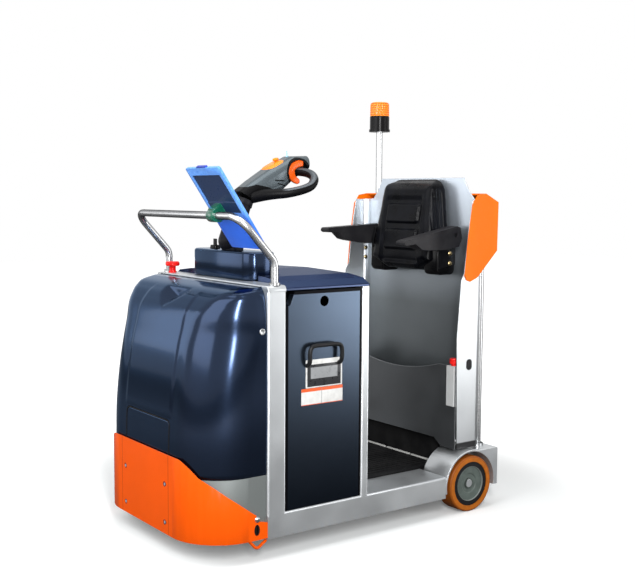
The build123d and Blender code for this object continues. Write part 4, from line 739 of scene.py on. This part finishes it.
black_paint = painted("black_paint", (0.005, 0.005, 0.006), (0.05, 0.05, 0.05), flake=0.05, rub=0.35,
                      Specular_IOR_Level=0.15)
dress(("seat_base", "arm_bracket_left", "arm_bracket_right"), black_paint, rounding=0.0012)
arm_foam = rubbery("arm_foam", (0.016, 0.0155, 0.018), dust_color=(0.05, 0.05, 0.05), dust=0.35, grain=520.0,
                   depth=0.0003, Specular_IOR_Level=0.11, Roughness=0.40)
dress(("seat_arm_left", "seat_arm_right"), arm_foam, rounding=0.0065, angle=40.0)

for side, sign in sides:
    side_block(f"seat_flank_{side}", (ahead(-0.0655), ahead(0.026)), (0.120, 0.1998), (0.876, 0.985),
               0.022, 0.008, black_plastic, sign)
brass, tree, shader = material("brass", (0.55, 0.42, 0.20), Metallic=1.0, Roughness=0.3)
dull = noise(tree, 240.0, 3.0)
feed(shader, Base_Color=blend(tree, dull, 0.3, 0.7, (0.62, 0.46, 0.22), (0.34, 0.27, 0.15)),
     Roughness=ramp(tree, dull, 0.3, 0.7, 0.22, 0.42))


def turned_part(name, foot, axis, profile, finish, body="chassis", sides=32):
    """A turned piece: (along, radius) pairs carried round an axis that starts at its foot."""
    axis = Vector(axis).normalized()
    across = axis.orthogonal().normalized()
    third = axis.cross(across)
    turn = np.linspace(0, 2 * np.pi, sides, endpoint=False)
    spokes = np.cos(turn)[:, None] * np.array(across) + np.sin(turn)[:, None] * np.array(third)
    along, radius = np.array(profile).T
    points = np.array(foot) + along[:, None, None] * np.array(axis) + radius[:, None, None] * spokes
    return grid_piece(name, points, finish, body, closed=True, capped=True)


def bolt_profile(radius, height):
    """A domed bolt head on its washer."""
    shape = ((0, 1.3), (.18, 1.3), (.2, 1.02), (.24, 1), (.7, 1), (.85, .93), (.96, .72), (1, .35))
    return [(height * along, radius * out) for along, out in shape]


bracket_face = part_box("arm_bracket_left")[1].y - 0.0002
for number, height in enumerate((0.962, 0.924)):
    for side, sign in sides:
        turned_part(f"bracket_bolt_{side}_{number}", (ahead(0.010), sign * bracket_face, height),
                    (0, sign, 0), bolt_profile(0.0068, 0.007), brass)

# ---- handrail, bumper and lashing eyes -------------------------------------------------
# A bent bright tube over the hood. The cast bumper is glossy orange, with joints down its front,
# four bolts, and a slotted hole in each side painted near-black as painted shade; the folded eyes behind and
# below it are sprayed in the same orange.
dress(("handrail",), bright_steel, rounding=0)
orange_paint = painted("orange_paint", (0.86, 0.098, 0.003), (0.96, 0.22, 0.03), flake=0.03, ripple=0.06,
                       rub=0.35, Roughness=0.24, Specular_IOR_Level=0.09)
dress(("bumper", "lashing_eye_left", "lashing_eye_right"), orange_paint, rounding=0.002)
bolt_side, bolt_low, bolt_high = 0.1425, 0.113, 0.240       # bolts out from the middle, and heights
washer_radius, head_radius = 0.0095, 0.0050
joint_side, joint_wide = 0.1670, 0.0011
slot_place, slot_size = (ahead(0.9520), 0.1080), (0.0105, 0.0185)
tree, shader, color = opened(orange_paint)
x, y, z = apart(tree, own_place(tree))


def away(tree, place, middle):
    """How far a coordinate is from a middle, either way."""
    return calc(tree, "ABSOLUTE", calc(tree, "SUBTRACT", place, middle))


def reach_squared(tree, first, second):
    """The squared length of a two-part offset."""
    return calc(tree, "ADD", times(tree, first, first), times(tree, second, second))


out = calc(tree, "ABSOLUTE", y)
row_half = (bolt_high - bolt_low) / 2
level = calc(tree, "SUBTRACT", z, (bolt_high + bolt_low) / 2)
level = calc(tree, "PINGPONG", level, row_half)         # folds both rows of bolts onto one
from_bolt = calc(tree, "POWER", reach_squared(tree, calc(tree, "SUBTRACT", out, bolt_side),
                                              calc(tree, "SUBTRACT", level, row_half)), 0.5)
on_face = ramp(tree, x, ahead(1.1585), ahead(1.1590))
washer = times(tree, ramp(tree, from_bolt, washer_radius, washer_radius - 0.0005), on_face)
head = times(tree, ramp(tree, from_bolt, head_radius, head_radius - 0.0004), on_face)
joint = times(tree, ramp(tree, away(tree, out, joint_side), joint_wide, joint_wide - 0.0005),
              ramp(tree, x, ahead(1.12), ahead(1.121)))
slot_x, slot_z = (times(tree, calc(tree, "SUBTRACT", along, middle), 1 / size)
                  for along, middle, size in zip((x, z), slot_place, slot_size))
# painted shade: the slotted hole in each side, near-black
slot_shade = times(tree, ramp(tree, reach_squared(tree, slot_x, slot_z), 1.08, 0.94), ramp(tree, out, 0.300, 0.301))
for share, shade in ((joint, (0.20, 0.018, 0.001)), (slot_shade, (0.012, 0.010, 0.010)),
                     (washer, (0.030, 0.034, 0.045)), (head, (0.34, 0.38, 0.44))):
    color = tint(tree, share, color, shade)
feed(shader, Base_Color=color)
for side, sign in sides:
    turned_part(f"bumper_bolt_{side}", (ahead(0.9510), sign * 0.3735, 0.1430), (0, sign, 0),
                bolt_profile(0.0075, 0.0065), bright_steel)

# ---- hood ------------------------------------------------------------------------------
# A vacuum-formed navy cover, smooth and slightly glossy, that narrows upwards over eight sections. It
# has a scooped finger recess at the top, a raised middle panel, and a grooved service panel below.
hood_sections = np.array([  # height, half width, front ahead of the axle, corner radius
    (0.2813, 0.3657, 1.1517, 0.1717), (0.4383, 0.370, 1.1465, 0.172), (0.6003, 0.369, 1.1295, 0.172),
    (0.7337, 0.366, 1.1035, 0.166), (0.8237, 0.360, 1.070, 0.126), (0.8537, 0.355, 1.040, 0.095),
    (0.8737, 0.345, 1.001, 0.060), (0.8837, 0.335, 0.957, 0.040),
])
hood_rear, hood_wall = 0.911, 0.0035
scoop_back, scoop_height, scoop_run = 1.022, 0.8297, 2.348
scoop_arms = (0.447, 0.362)     # rise of the scoop's floor to each side, right and left
service_half, service_top, service_corner = 0.153, 0.447, 0.020
groove_wide, groove_deep = 0.0024, 0.0035
panel_lift, groove_shade_radius = 0.0030, 0.0024


def smooth_through(heights, sections):
    """Values at heights on a curve through the sections, with slopes from their neighbours."""
    z = sections[:, 0]
    slopes = np.gradient(sections[:, 1:], z, axis=0)
    at = np.clip(np.searchsorted(z, heights, side="right") - 1, 0, len(z) - 2)
    span = (z[at + 1] - z[at])[:, None]
    share = ((heights - z[at])[:, None]) / span
    return ((1 + 2 * share) * (1 - share) ** 2 * sections[at, 1:]
            + share * (1 - share) ** 2 * span * slopes[at]
            + share ** 2 * (3 - 2 * share) * sections[at + 1, 1:]
            + share ** 2 * (share - 1) * span * slopes[at + 1])


heights = np.unique(np.round(np.concatenate([
    np.linspace(0.2813, 0.412, 10), np.arange(0.414, 0.456, 0.002), np.linspace(0.46, 0.776, 24),
    np.arange(0.780, 0.8838, 0.003), [0.8837]]), 5))
half, front, corner = smooth_through(heights, hood_sections).T
fine = np.concatenate([np.arange(0.0, 0.124, 0.0045), np.arange(0.1255, 0.172, 0.0018)])
middle_y = np.concatenate([-fine[:0:-1], fine])
arc = np.linspace(0, np.pi / 2, 18)


def row_of(half, front, corner):
    """One outline: left side, corner, front at fixed places across, corner, right side."""
    side_x = np.linspace(hood_rear, front - corner, 12, endpoint=False)
    reach = half - corner
    corner_x, corner_y = front - corner + corner * np.sin(arc), reach + corner * np.cos(arc)
    between = np.linspace(reach, middle_y[-1], 6)[1:-1]
    across = np.concatenate([between, middle_y[::-1], -between[::-1]])
    x = [side_x, corner_x, np.full(len(across), front), corner_x[::-1], side_x[::-1]]
    y = [np.full(12, half), corner_y, across, -corner_y[::-1], np.full(12, -half)]
    return np.stack([np.concatenate(x), np.concatenate(y)], -1)


hood_rows = np.stack([row_of(*values) for values in zip(half, front, corner)])
grid_z = np.broadcast_to(heights[:, None], hood_rows.shape[:2])
hood_x, hood_y = hood_rows[..., 0].copy(), hood_rows[..., 1]
ahead_facing = soft_step(hood_x, 0.96, 1.0)
# raised middle panel: higher inside, by a soft crease, faded out above the bumper and at the top
crease = (1 - soft_step(np.abs(hood_y), 0.148, 0.171)) * soft_step(grid_z, 0.452, 0.470) \
    * (1 - soft_step(grid_z, 0.845, 0.872))
hood_x += panel_lift * crease * ahead_facing
# finger recess: the nearer of the surface, and of the back plane joined to the sloping floor
rise = np.where(hood_y < -0.005, scoop_arms[0], scoop_arms[1]) * np.sqrt((hood_y + 0.005) ** 2 + 0.006 ** 2)
floor_x = scoop_back + (scoop_height - grid_z + rise) * scoop_run
blunt = 0.004
bed = 0.5 * (floor_x + scoop_back + np.sqrt((floor_x - scoop_back) ** 2 + (2 * blunt) ** 2))
scooped = 0.5 * (hood_x + bed - np.sqrt((hood_x - bed) ** 2 + blunt ** 2))
hood_x = np.where((np.abs(hood_y) < 0.171) & (grid_z > 0.78), scooped, hood_x)
# groove: a round-bottomed channel along the outline of the service panel
outline = past_panel(np.abs(hood_y) - service_half, grid_z - service_top, service_corner)
hood_x -= groove_deep * np.exp(-(outline / groove_wide) ** 4) * (np.abs(hood_y) < 0.19) * (hood_x > 1.0)
hood_points = np.stack([hood_x + axle_x, hood_y, grid_z], axis=-1)
# cap: the top outline drawn back, row by row, onto the rear edge
cap = np.repeat(hood_points[-1:], 4, axis=0)
cap[..., 0] = axle_x + hood_rear \
    + (cap[..., 0] - axle_x - hood_rear) * (1 - np.array([0.04, 0.3, 0.65, 0.97])[:, None])
hood_points = np.concatenate([hood_points, cap])

hood_blue = painted("hood_blue", (0.0190, 0.0310, 0.062), (0.05, 0.07, 0.12), flake=0.04, ripple=0.05, rub=0.15,
                    Metallic=0.95, Roughness=0.17, Specular_Tint=(0.55, 0.67, 0.86), Coat_Weight=0.15,
                    Coat_Roughness=0.07)
hood = grid_piece("hood_formed", hood_points, hood_blue)
modify(hood, "SOLIDIFY", thickness=hood_wall, offset=-1.0, use_even_offset=False)
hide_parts("hood")
# a black strip lies in the groove as painted shade, from behind the bumper up, round the corners and down
groove_shade_black = rubbery("groove_shade_black", (0.003, 0.003, 0.004), dust=0.0, grain=800.0)
quarter = np.linspace(0, np.pi / 2, 7)
groove_shade_y = np.concatenate([[service_half] * 4, service_half - service_corner * (1 - np.cos(quarter)),
                         np.linspace(service_half - service_corner, 0, 10)[1:]])
groove_shade_z = np.concatenate([[0.330, 0.360, 0.390, 0.415], service_top - service_corner * (1 - np.sin(quarter)),
                         np.full(9, service_top)])
groove_shade_y, groove_shade_z = np.concatenate([groove_shade_y, -groove_shade_y[-2::-1]]), np.concatenate([groove_shade_z, groove_shade_z[-2::-1]])
groove_shade_x = axle_x + smooth_through(groove_shade_z, hood_sections)[:, 1] - 0.0010
groove_shade_spine = np.stack([groove_shade_x, groove_shade_y, groove_shade_z], axis=-1)
groove_shade_along = np.gradient(groove_shade_spine, axis=0)
groove_shade_along /= np.linalg.norm(groove_shade_along, axis=1, keepdims=True)
groove_shade_side = np.cross(groove_shade_along, (1.0, 0.0, 0.0))
groove_shade_turn = np.linspace(0, 2 * np.pi, 10, endpoint=False)
groove_shade_ring = groove_shade_spine[:, None] + groove_shade_radius * (
    np.cos(groove_shade_turn)[:, None] * groove_shade_side[:, None] + np.sin(groove_shade_turn)[:, None] * np.array([1.0, 0, 0]))
grid_piece("service_groove_shade", groove_shade_ring, groove_shade_black, closed=True)

# ---- battery bay: bulkhead, battery, doors and cover -----------------------------------
# Dark coated sheet steel, smoother than the frame, clouded where hands have wiped it, darker towards
# the foot from road film and painted shade, and with a painted shadow under the cover. Each door has a black
# moulded pull;
# the left one carries a blank rating plate and a blank two-part label. A formed cover in the hood's navy closes
# the top.
door_dark = painted("door_dark", (0.085, 0.112, 0.155), (0.20, 0.23, 0.28), flake=0.10, ripple=0.03, rub=0.3,
                    Roughness=0.26, Specular_IOR_Level=0.05)
tree, shader, clean = opened(door_dark)
x, y, z = apart(tree, own_place(tree))
door_low, door_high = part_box("door_left")
door_half = (door_high.x - door_low.x) / 2
along = away(tree, x, (door_low.x + door_high.x) / 2)
end_seal = ramp(tree, along, door_half - 0.0085, door_half - 0.0075)     # rubber down each end
# painted shadow: a black band along the door's top, under the cover
shadow_under_cover = ramp(tree, z, door_high.z - 0.0110, door_high.z - 0.0100)
seal_and_shadow = calc(tree, "MAXIMUM", end_seal, shadow_under_cover)
# road film and painted shade: the door darker towards its foot
film_and_shade = blend(tree, z, 0.15, 0.80, (0.19, 0.20, 0.22), (0.94, 0.95, 0.96))
filmed_and_shaded = tint(tree, 1.0, clean, film_and_shade, "MULTIPLY")
feed(shader, Base_Color=tint(tree, seal_and_shadow, filmed_and_shaded, (0.002, 0.002, 0.003)),
     Metallic=ramp(tree, seal_and_shadow, 0.0, 1.0, 0.96, 0.0))
dress(("bulkhead", "door_left", "door_right"), door_dark, rounding=0.0009)
battery_black = rubbery("battery_black", (0.012, 0.013, 0.015), dust=0.2, grain=300.0)
dress(("battery",), battery_black, rounding=0.003)
cover_blue = painted("cover_blue", (0.064, 0.084, 0.150), (0.20, 0.23, 0.30), flake=0.05, ripple=0.04, rub=0.35,
                     Metallic=0.95, Specular_Tint=(0.22, 0.27, 0.40), Roughness=0.27)
dress(("battery_cover",), cover_blue, rounding=0.0014)
handle_black = rubbery("handle_black", (0.010, 0.010, 0.011), dust=0.03, grain=800.0, Roughness=0.30)
handle_path = np.array([  # ahead of the axle, out from the middle, height, radius
    (0.757, 0.3718, 0.622, 0.0078), (0.757, 0.3815, 0.627, 0.0072), (0.757, 0.3885, 0.640, 0.0072),
    (0.757, 0.3890, 0.668, 0.0072), (0.749, 0.3890, 0.684, 0.0072), (0.731, 0.3890, 0.6885, 0.0072),
    (0.700, 0.3890, 0.6885, 0.0072), (0.660, 0.3890, 0.6885, 0.0072), (0.6345, 0.3890, 0.684, 0.0072),
    (0.6265, 0.3890, 0.668, 0.0072), (0.6265, 0.3885, 0.640, 0.0072), (0.6265, 0.3815, 0.627, 0.0072),
    (0.6265, 0.3718, 0.622, 0.0078),
])


def smooth_path(knots, steps):
    """Catmull-Rom curve through rows of knots: equal steps between each pair, ends held."""
    held = np.vstack([2 * knots[0] - knots[1], knots, 2 * knots[-1] - knots[-2]])
    t = np.linspace(0, 1, steps, endpoint=False)[:, None]
    runs = [0.5 * (2 * b + (c - a) * t + (2 * a - 5 * b + 4 * c - d) * t ** 2
                   + (3 * b - a - 3 * c + d) * t ** 3)
            for a, b, c, d in zip(held, held[1:], held[2:], held[3:])]
    return np.vstack([*runs, knots[-1:]])


def carried(name, path, ring, up, sign, finish, body="chassis"):
    """A section carried along a path of (ahead, out, height, size): each ring stands square to the
    path, its first axis level or sideways, and is as large as the path's last column."""
    spine = np.stack([axle_x + path[:, 0], sign * path[:, 1], path[:, 2]], axis=-1)
    along = np.gradient(spine, axis=0)
    along /= np.linalg.norm(along, axis=1, keepdims=True)
    level = np.cross(along, up)
    level /= np.linalg.norm(level, axis=1, keepdims=True)
    third = np.cross(level, along)
    points = spine[:, None] + (level[:, None] * ring[:, 0, None] + third[:, None] * ring[:, 1, None]) \
        * path[:, 3, None, None]
    return grid_piece(name, points, finish, body, closed=True, capped=True)


turn = np.linspace(0, 2 * np.pi, 24, endpoint=False)
round_ring = np.stack([np.cos(turn), np.sin(turn)], -1)
for side, sign in sides:
    pull = carried(f"door_pull_{side}", smooth_path(handle_path, 5), round_ring, (0.50, 0.60, 0.62), sign,
                   handle_black)
    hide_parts(f"door_handle_{side}")


def banded(name, base, bands, roughness=0.4):
    """A printed plate: rectangles of colour (low X, high X, low Z, high Z, colour), in order."""
    made, tree, shader = material(name, base, Roughness=roughness)
    x, _, z = apart(tree, own_place(tree))
    color = base
    for low_x, high_x, low_z, high_z, band in bands:
        edges = ((x, low_x, 0.0002), (x, high_x, -0.0002), (z, low_z, 0.0002), (z, high_z, -0.0002))
        share = times(tree, *(ramp(tree, along, edge - soft, edge + soft) for along, edge, soft in edges))
        color = tint(tree, share, color, band)
    scuff = noise(tree, 55.0, 5.0)
    feed(shader, Base_Color=dimmed(tree, color, ramp(tree, scuff, 0.3, 0.7, 0.86, 1.04)),
         Roughness=ramp(tree, scuff, 0.3, 0.7, roughness - 0.06, roughness + 0.08))
    return made


door_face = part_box("door_left")[1].y
white_print, black_print, orange_print = (0.74, 0.74, 0.72), (0.02, 0.021, 0.024), (0.80, 0.11, 0.02)
plate_x, plate_z = (ahead(0.612), ahead(0.762)), (0.5465, 0.6400)
rating_plate = banded("rating_plate", white_print, (
    (plate_x[0] + 0.006, plate_x[1] - 0.006, plate_z[0] + 0.004, plate_z[1] - 0.016, black_print),
    (plate_x[0] + 0.020, plate_x[1] - 0.020, plate_z[0] + 0.030, plate_z[1] - 0.026, (0.30, 0.31, 0.32)),
), roughness=0.3)
side_block("rating_plate_left", plate_x, (door_face - 0.0002, door_face + 0.0010), plate_z, 0.003, 0.0003,
           rating_plate)
label_x, label_z = (ahead(0.6095), ahead(0.7790)), (0.4905, 0.5455)
blank_label = banded("blank_label", white_print, (
    (label_x[0], label_x[1], label_z[1] - 0.011, label_z[1] + 0.001, orange_print),
    (label_x[0], label_x[1], label_z[0] - 0.001, label_z[0] + 0.0022, orange_print),
    (ahead(0.6957), ahead(0.6975), label_z[0], label_z[1] - 0.002, (0.25, 0.25, 0.25)),
), roughness=0.45)
side_block("blank_label_left", label_x, (door_face - 0.0002, door_face + 0.0006), label_z, 0.0008, 0.0002,
           blank_label)
# hood lock: a bright round head at the hood's rear edge, each side
lock_profile = ((0, .0105), (.0030, .0105), (.0038, .0098), (.0040, .0075), (.0034, .0070),
                (.0034, .0020))
for side, sign in sides:
    turned_part(f"hood_lock_{side}", (ahead(0.9285), sign * 0.3650, 0.7455), (0, sign, 0), lock_profile,
                bright_steel)

# ---- cowl, key switch and emergency knob -----------------------------------------------
# A smooth navy cowl stands behind the hood, with a black key switch; the red knob is on the bridge.
cowl_low, cowl_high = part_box("tiller_cowl")
cowl = block("tiller_cowl_formed", tuple(cowl_low), tuple(cowl_high), 0.052, 0.009, hood_blue)
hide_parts("tiller_cowl")
dress(("key_switch",), black_plastic, rounding=0.0008)
dress(("emergency_knob",), red_plastic, rounding=0.0006)

# ---- tiller ----------------------------------------------------------------------------
# A grained black column with a ribbed collar carries a moulded head: a silver upper shell over a
# black lower one, carried onto the upward faces of the grips, there partly as a painted highlight. Orange
# rocker rings work the drive.
tiller_black = rubbery("tiller_black", (0.007, 0.007, 0.009), dust_color=(0.04, 0.04, 0.045), dust=0.3,
                       grain=620.0, Roughness=0.42, Specular_IOR_Level=0.10)
dress(("tiller_column",), tiller_black, rounding=0.0008)
dish_place = (ahead(0.562), 1.256)

shells, given, gives = new_group("two_shells", ("Upper Color", "Lower Color", "Upper Share"),
                                 ("Color", "Roughness", "Height"))
upper = dimmed(shells, given["Upper Color"], ramp(shells, noise(shells, 14.0, 3.0), 0.3, 0.7, 0.9, 1.06))
feed(gives, Color=tint(shells, given["Upper Share"], given["Lower Color"], upper),
     Roughness=ramp(shells, given["Upper Share"], 0.0, 1.0, 0.42, 0.27),
     Height=noise(shells, 900.0, 2.0))


def two_shells(name, share_of, upper):
    """Silver plastic above and black below, split by a share that share_of(tree) makes."""
    made, tree, shader = material(name, (0.4, 0.4, 0.41), Specular_IOR_Level=0.09)
    share = share_of(tree)
    skin = node(tree, "Group", node_tree=shells, Upper_Color=upper, Lower_Color=(0.003, 0.003, 0.0035),
                Upper_Share=share).outputs
    feed(shader, Base_Color=skin["Color"], Roughness=skin["Roughness"],
         Metallic=ramp(tree, share, 0.0, 1.0, 0.0, 0.45), Normal=bump(tree, skin["Height"], 0.2, 0.0002))
    return made


def head_share(tree):
    """1 above the line between the shells, 0 below it, at the dish's rim and in the two slits."""
    x, y, z = apart(tree, own_place(tree))
    line = ramp(tree, x, ahead(0.770), ahead(0.740), 1.204, 1.2125)
    for start, stop, change in ((0.740, 0.690, -0.0095), (0.690, 0.640, -0.023)):
        line = calc(tree, "ADD", line, ramp(tree, x, ahead(start), ahead(stop), 0.0, change))
    share = ramp(tree, calc(tree, "SUBTRACT", z, line), -0.0006, 0.0006)
    dish_x, dish_z = (calc(tree, "SUBTRACT", along, middle) for along, middle in zip((x, z), dish_place))
    from_dish = calc(tree, "POWER", reach_squared(tree, dish_x, dish_z), 0.5)
    out = calc(tree, "ABSOLUTE", y)
    cuts = [times(tree, ramp(tree, from_dish, 0.0555, 0.0545), ramp(tree, out, 0.024, 0.026))]
    for start, stop, height, drop in ((0.6665, 0.6270, 1.2278, -0.0011), (0.6550, 0.6130, 1.2167, -0.0093)):
        middle = ramp(tree, x, ahead(start), ahead(stop), height, height + drop)
        cuts.append(times(
            tree, ramp(tree, away(tree, z, middle), 0.0024, 0.0018),
            ramp(tree, x, ahead(start) + 0.001, ahead(start)), ramp(tree, x, ahead(stop), ahead(stop) + 0.001),
            ramp(tree, out, 0.03, 0.032)))
    return times(tree, share, *(calc(tree, "SUBTRACT", 1.0, dark) for dark in cuts))


def grip_upper_and_highlight(tree):
    """1 where the surface looks upwards, 0 where it looks down or out: the shell's silver on the grips, partly
    a painted highlight.
    """
    looks_up = apart(tree, node(tree, "NewGeometry").outputs["Normal"])["Z"]
    return times(tree, ramp(tree, looks_up, 0.48, 0.54),
                 ramp(tree, apart(tree, own_place(tree))["X"], ahead(0.680), ahead(0.660)))


tiller_grey = two_shells("tiller_grey", head_share, (0.100, 0.120, 0.132))
# the grips' silver follows their upward faces: partly the upper shell, partly a painted highlight
tiller_grip = two_shells("tiller_grip", grip_upper_and_highlight, (0.09, 0.10, 0.11))
dress(("tiller_head",), tiller_grey, rounding=0.0012)
rocker_red = gloss_plastic("rocker_red", (0.92, 0.125, 0.008), (0.80, 0.07, 0.005))
grip_path = np.array([  # ahead of the axle, out from the middle, height, radius
    (0.752, 0.030, 1.1670, 0.0205), (0.718, 0.063, 1.1765, 0.0200), (0.690, 0.088, 1.1800, 0.0180),
    (0.662, 0.108, 1.1825, 0.0168), (0.634, 0.122, 1.1880, 0.0162), (0.600, 0.1305, 1.1970, 0.0160),
    (0.568, 0.1295, 1.2100, 0.0160), (0.546, 0.1160, 1.2310, 0.0160), (0.540, 0.0920, 1.2480, 0.0160),
    (0.545, 0.0620, 1.2570, 0.0155), (0.557, 0.0340, 1.2600, 0.0150), (0.567, 0.0200, 1.2600, 0.0150),
])
rocker_path = np.array([  # ahead of the axle, out, height, half width
    (0.535, 0.0355, 1.2900, 0.0100), (0.562, 0.0355, 1.2880, 0.0125), (0.5865, 0.0355, 1.2730, 0.0135),
    (0.5890, 0.0355, 1.2530, 0.0135), (0.5790, 0.0355, 1.2350, 0.0125), (0.552, 0.0355, 1.2210, 0.0090),
])


# a superellipse, wider across the path than it is thick
wing_ring = np.stack([stretch * np.sign(wave) * np.abs(wave) ** 0.5
                      for stretch, wave in ((1.0, np.cos(turn)), (0.62, np.sin(turn)))], -1)
grip_curve = smooth_path(grip_path, 6)
rocker_curve = smooth_path(rocker_path, 8)
rocker_ends = np.linspace(0, 1, len(rocker_curve))
rocker_curve[:, 3] *= np.clip(np.sin(np.pi * np.clip(rocker_ends * 8, 0, 0.5)), 0.05, 1) \
    * np.clip(np.sin(np.pi * np.clip((1 - rocker_ends) * 8, 0, 0.5)), 0.05, 1)
for side, sign in sides:
    grip = carried(f"tiller_grip_formed_{side}", grip_curve, round_ring, (0.0, 0.0, 1.0), sign, tiller_grip,
                   "tiller")
    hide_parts(f"tiller_grip_{side}")
    rocker = carried(f"tiller_rocker_{side}", rocker_curve, wing_ring, (0.0, 1.0, 0.0), sign, rocker_red,
                     "tiller")
    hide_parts(f"tiller_switch_{side}")

head_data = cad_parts["tiller_head"].data
head_tree = BVHTree.FromPolygons([v.co[:] for v in head_data.vertices],
                                 [p.vertices[:] for p in head_data.polygons])


def head_top(x, y=0.0):
    """The head's highest point at a place."""
    return head_tree.ray_cast(Vector((x, y, 1.5)), Vector((0, 0, -1)))[0]


def lid(name, start, stop, half, thick, finish):
    """A thin raised pad on the head's top: a grid dropped onto the head, domed to its thickness,
    with rounded corners where the plan is a superellipse."""
    u = np.sin(np.linspace(-np.pi / 2, np.pi / 2, 17))
    grid_u, grid_v = np.meshgrid(u, u, indexing="ij")
    swell_out = (np.abs(grid_u) ** 4 + np.abs(grid_v) ** 4) ** 0.25
    biggest = np.maximum(np.abs(grid_u), np.abs(grid_v))
    squeeze = np.where(swell_out > 0, biggest / np.maximum(swell_out, 1e-9), 1.0)
    x = (start + stop) / 2 + (stop - start) / 2 * grid_u * squeeze
    y = half * grid_v * squeeze
    dome = thick * (1 - biggest ** 6)
    z = np.empty_like(x)
    for place in np.ndindex(x.shape):
        z[place] = head_top(x[place], y[place]).z
    points = np.stack([x, y, z - 0.001 + dome], axis=-1)
    return grid_piece(name, points, finish, "tiller")


amber = gloss_plastic("amber_plastic", (0.95, 0.29, 0.02), (0.90, 0.22, 0.015))
lid("tiller_pad", ahead(0.611), ahead(0.681), 0.034, 0.007, amber)
knob_foot = head_top(ahead(0.630))
turned_part("tiller_knob", (knob_foot.x, 0.0, knob_foot.z + 0.004), (0.25, 0, 1),
            ((0, .006), (.004, .006), (.0045, .011), (.009, .0115), (.012, .010), (.0135, .006), (.0138, .001)),
            amber, "tiller")
pale_blue = gloss_plastic("pale_blue", (0.35, 0.62, 0.80), (0.28, 0.52, 0.72))
lever_foot = head_top(ahead(0.582))
turned_part("tiller_lever", (lever_foot.x, 0.0, lever_foot.z - 0.002), (0.12, 0, 1),
            ((0, .006), (.003, .006), (.005, .0022), (.020, .0018), (.022, .0010)),
            pale_blue, "tiller", sides=16)

# ---- writing board and its clamp -------------------------------------------------------
# A moulded blue board with a dished dark face for papers, a spring tab along its top and rivets. A
# green cast clamp grips the rail.
board_lean, board_foot = math.radians(34.5), (ahead(1.006), 0.233, 1.110)
board_blue, tree, shader = material(
    "board_blue", (0.11, 0.24, 0.66), Roughness=0.33, Specular_IOR_Level=0.16
)
here = own_place(tree)
fleck = noise(tree, 120.0, 4.0)
x, y, z = apart(tree, here)
worn_blue = blend(tree, fleck, 0.35, 0.7, (0.115, 0.33, 0.92), (0.19, 0.44, 1.0))
blue = blend(tree, z, 1.125, 1.085, worn_blue, (0.050, 0.19, 0.95))
# the dished face and the tab: measured up the board from the rail, and across it
from_rail = node(tree, "VectorMath", here, board_foot, operation="SUBTRACT").outputs[0]
up_board = node(tree, "VectorMath", from_rail, (math.sin(board_lean), 0.0, math.cos(board_lean)),
                operation="DOT_PRODUCT").outputs["Value"]
dished = times(tree, ramp(tree, up_board, -0.012, -0.008), ramp(tree, up_board, 0.1325, 0.1315),
               ramp(tree, away(tree, y, board_foot[1]), 0.0860, 0.0850))
blue = blend(tree, up_board, 0.1600, 0.1606, blue, (0.030, 0.060, 0.42))
feed(shader, Base_Color=tint(tree, dished, blue, (0.016, 0.034, 0.090)),
     Roughness=ramp(tree, fleck, 0.3, 0.7, 0.26, 0.42), Normal=bump(tree, fleck, 0.15, 0.0003))
dress(("writing_board",), board_blue, rounding=0.0012)
clamp_green = painted("clamp_green", (0.004, 0.10, 0.055), (0.10, 0.55, 0.38), flake=0.05, ripple=0.5, rub=1.0,
                      Roughness=0.24, Coat_Weight=0.4)
dress(("board_clamp",), clamp_green, rounding=0.0022)

# ---- drive unit ------------------------------------------------------------------------
# A cast steering unit and its driven wheel, seen only from below: dark enamel, orange tread.
dress(("drive_unit",), cast_dark, rounding=0.002)
drive_low, drive_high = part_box("drive_tyre")
drive_centre = (drive_low + drive_high) / 2
drive_tread = wheel_finish(
    "drive_tread", tuple(drive_centre), ((0.107, tread_orange), (outermost, shoulder_orange)),
    Specular_IOR_Level=0.25,
)
drive_rim = wheel_finish(
    "drive_rim", tuple(drive_centre),
    ((0.045, (0.16, 0.165, 0.16)), (outermost, (0.03, 0.03, 0.032))), roughness=0.42, ridges=0.4, Metallic=0.3,
)
dress(("drive_tyre",), drive_tread, rounding=0)
dress(("drive_hub",), drive_rim, rounding=0.0008)
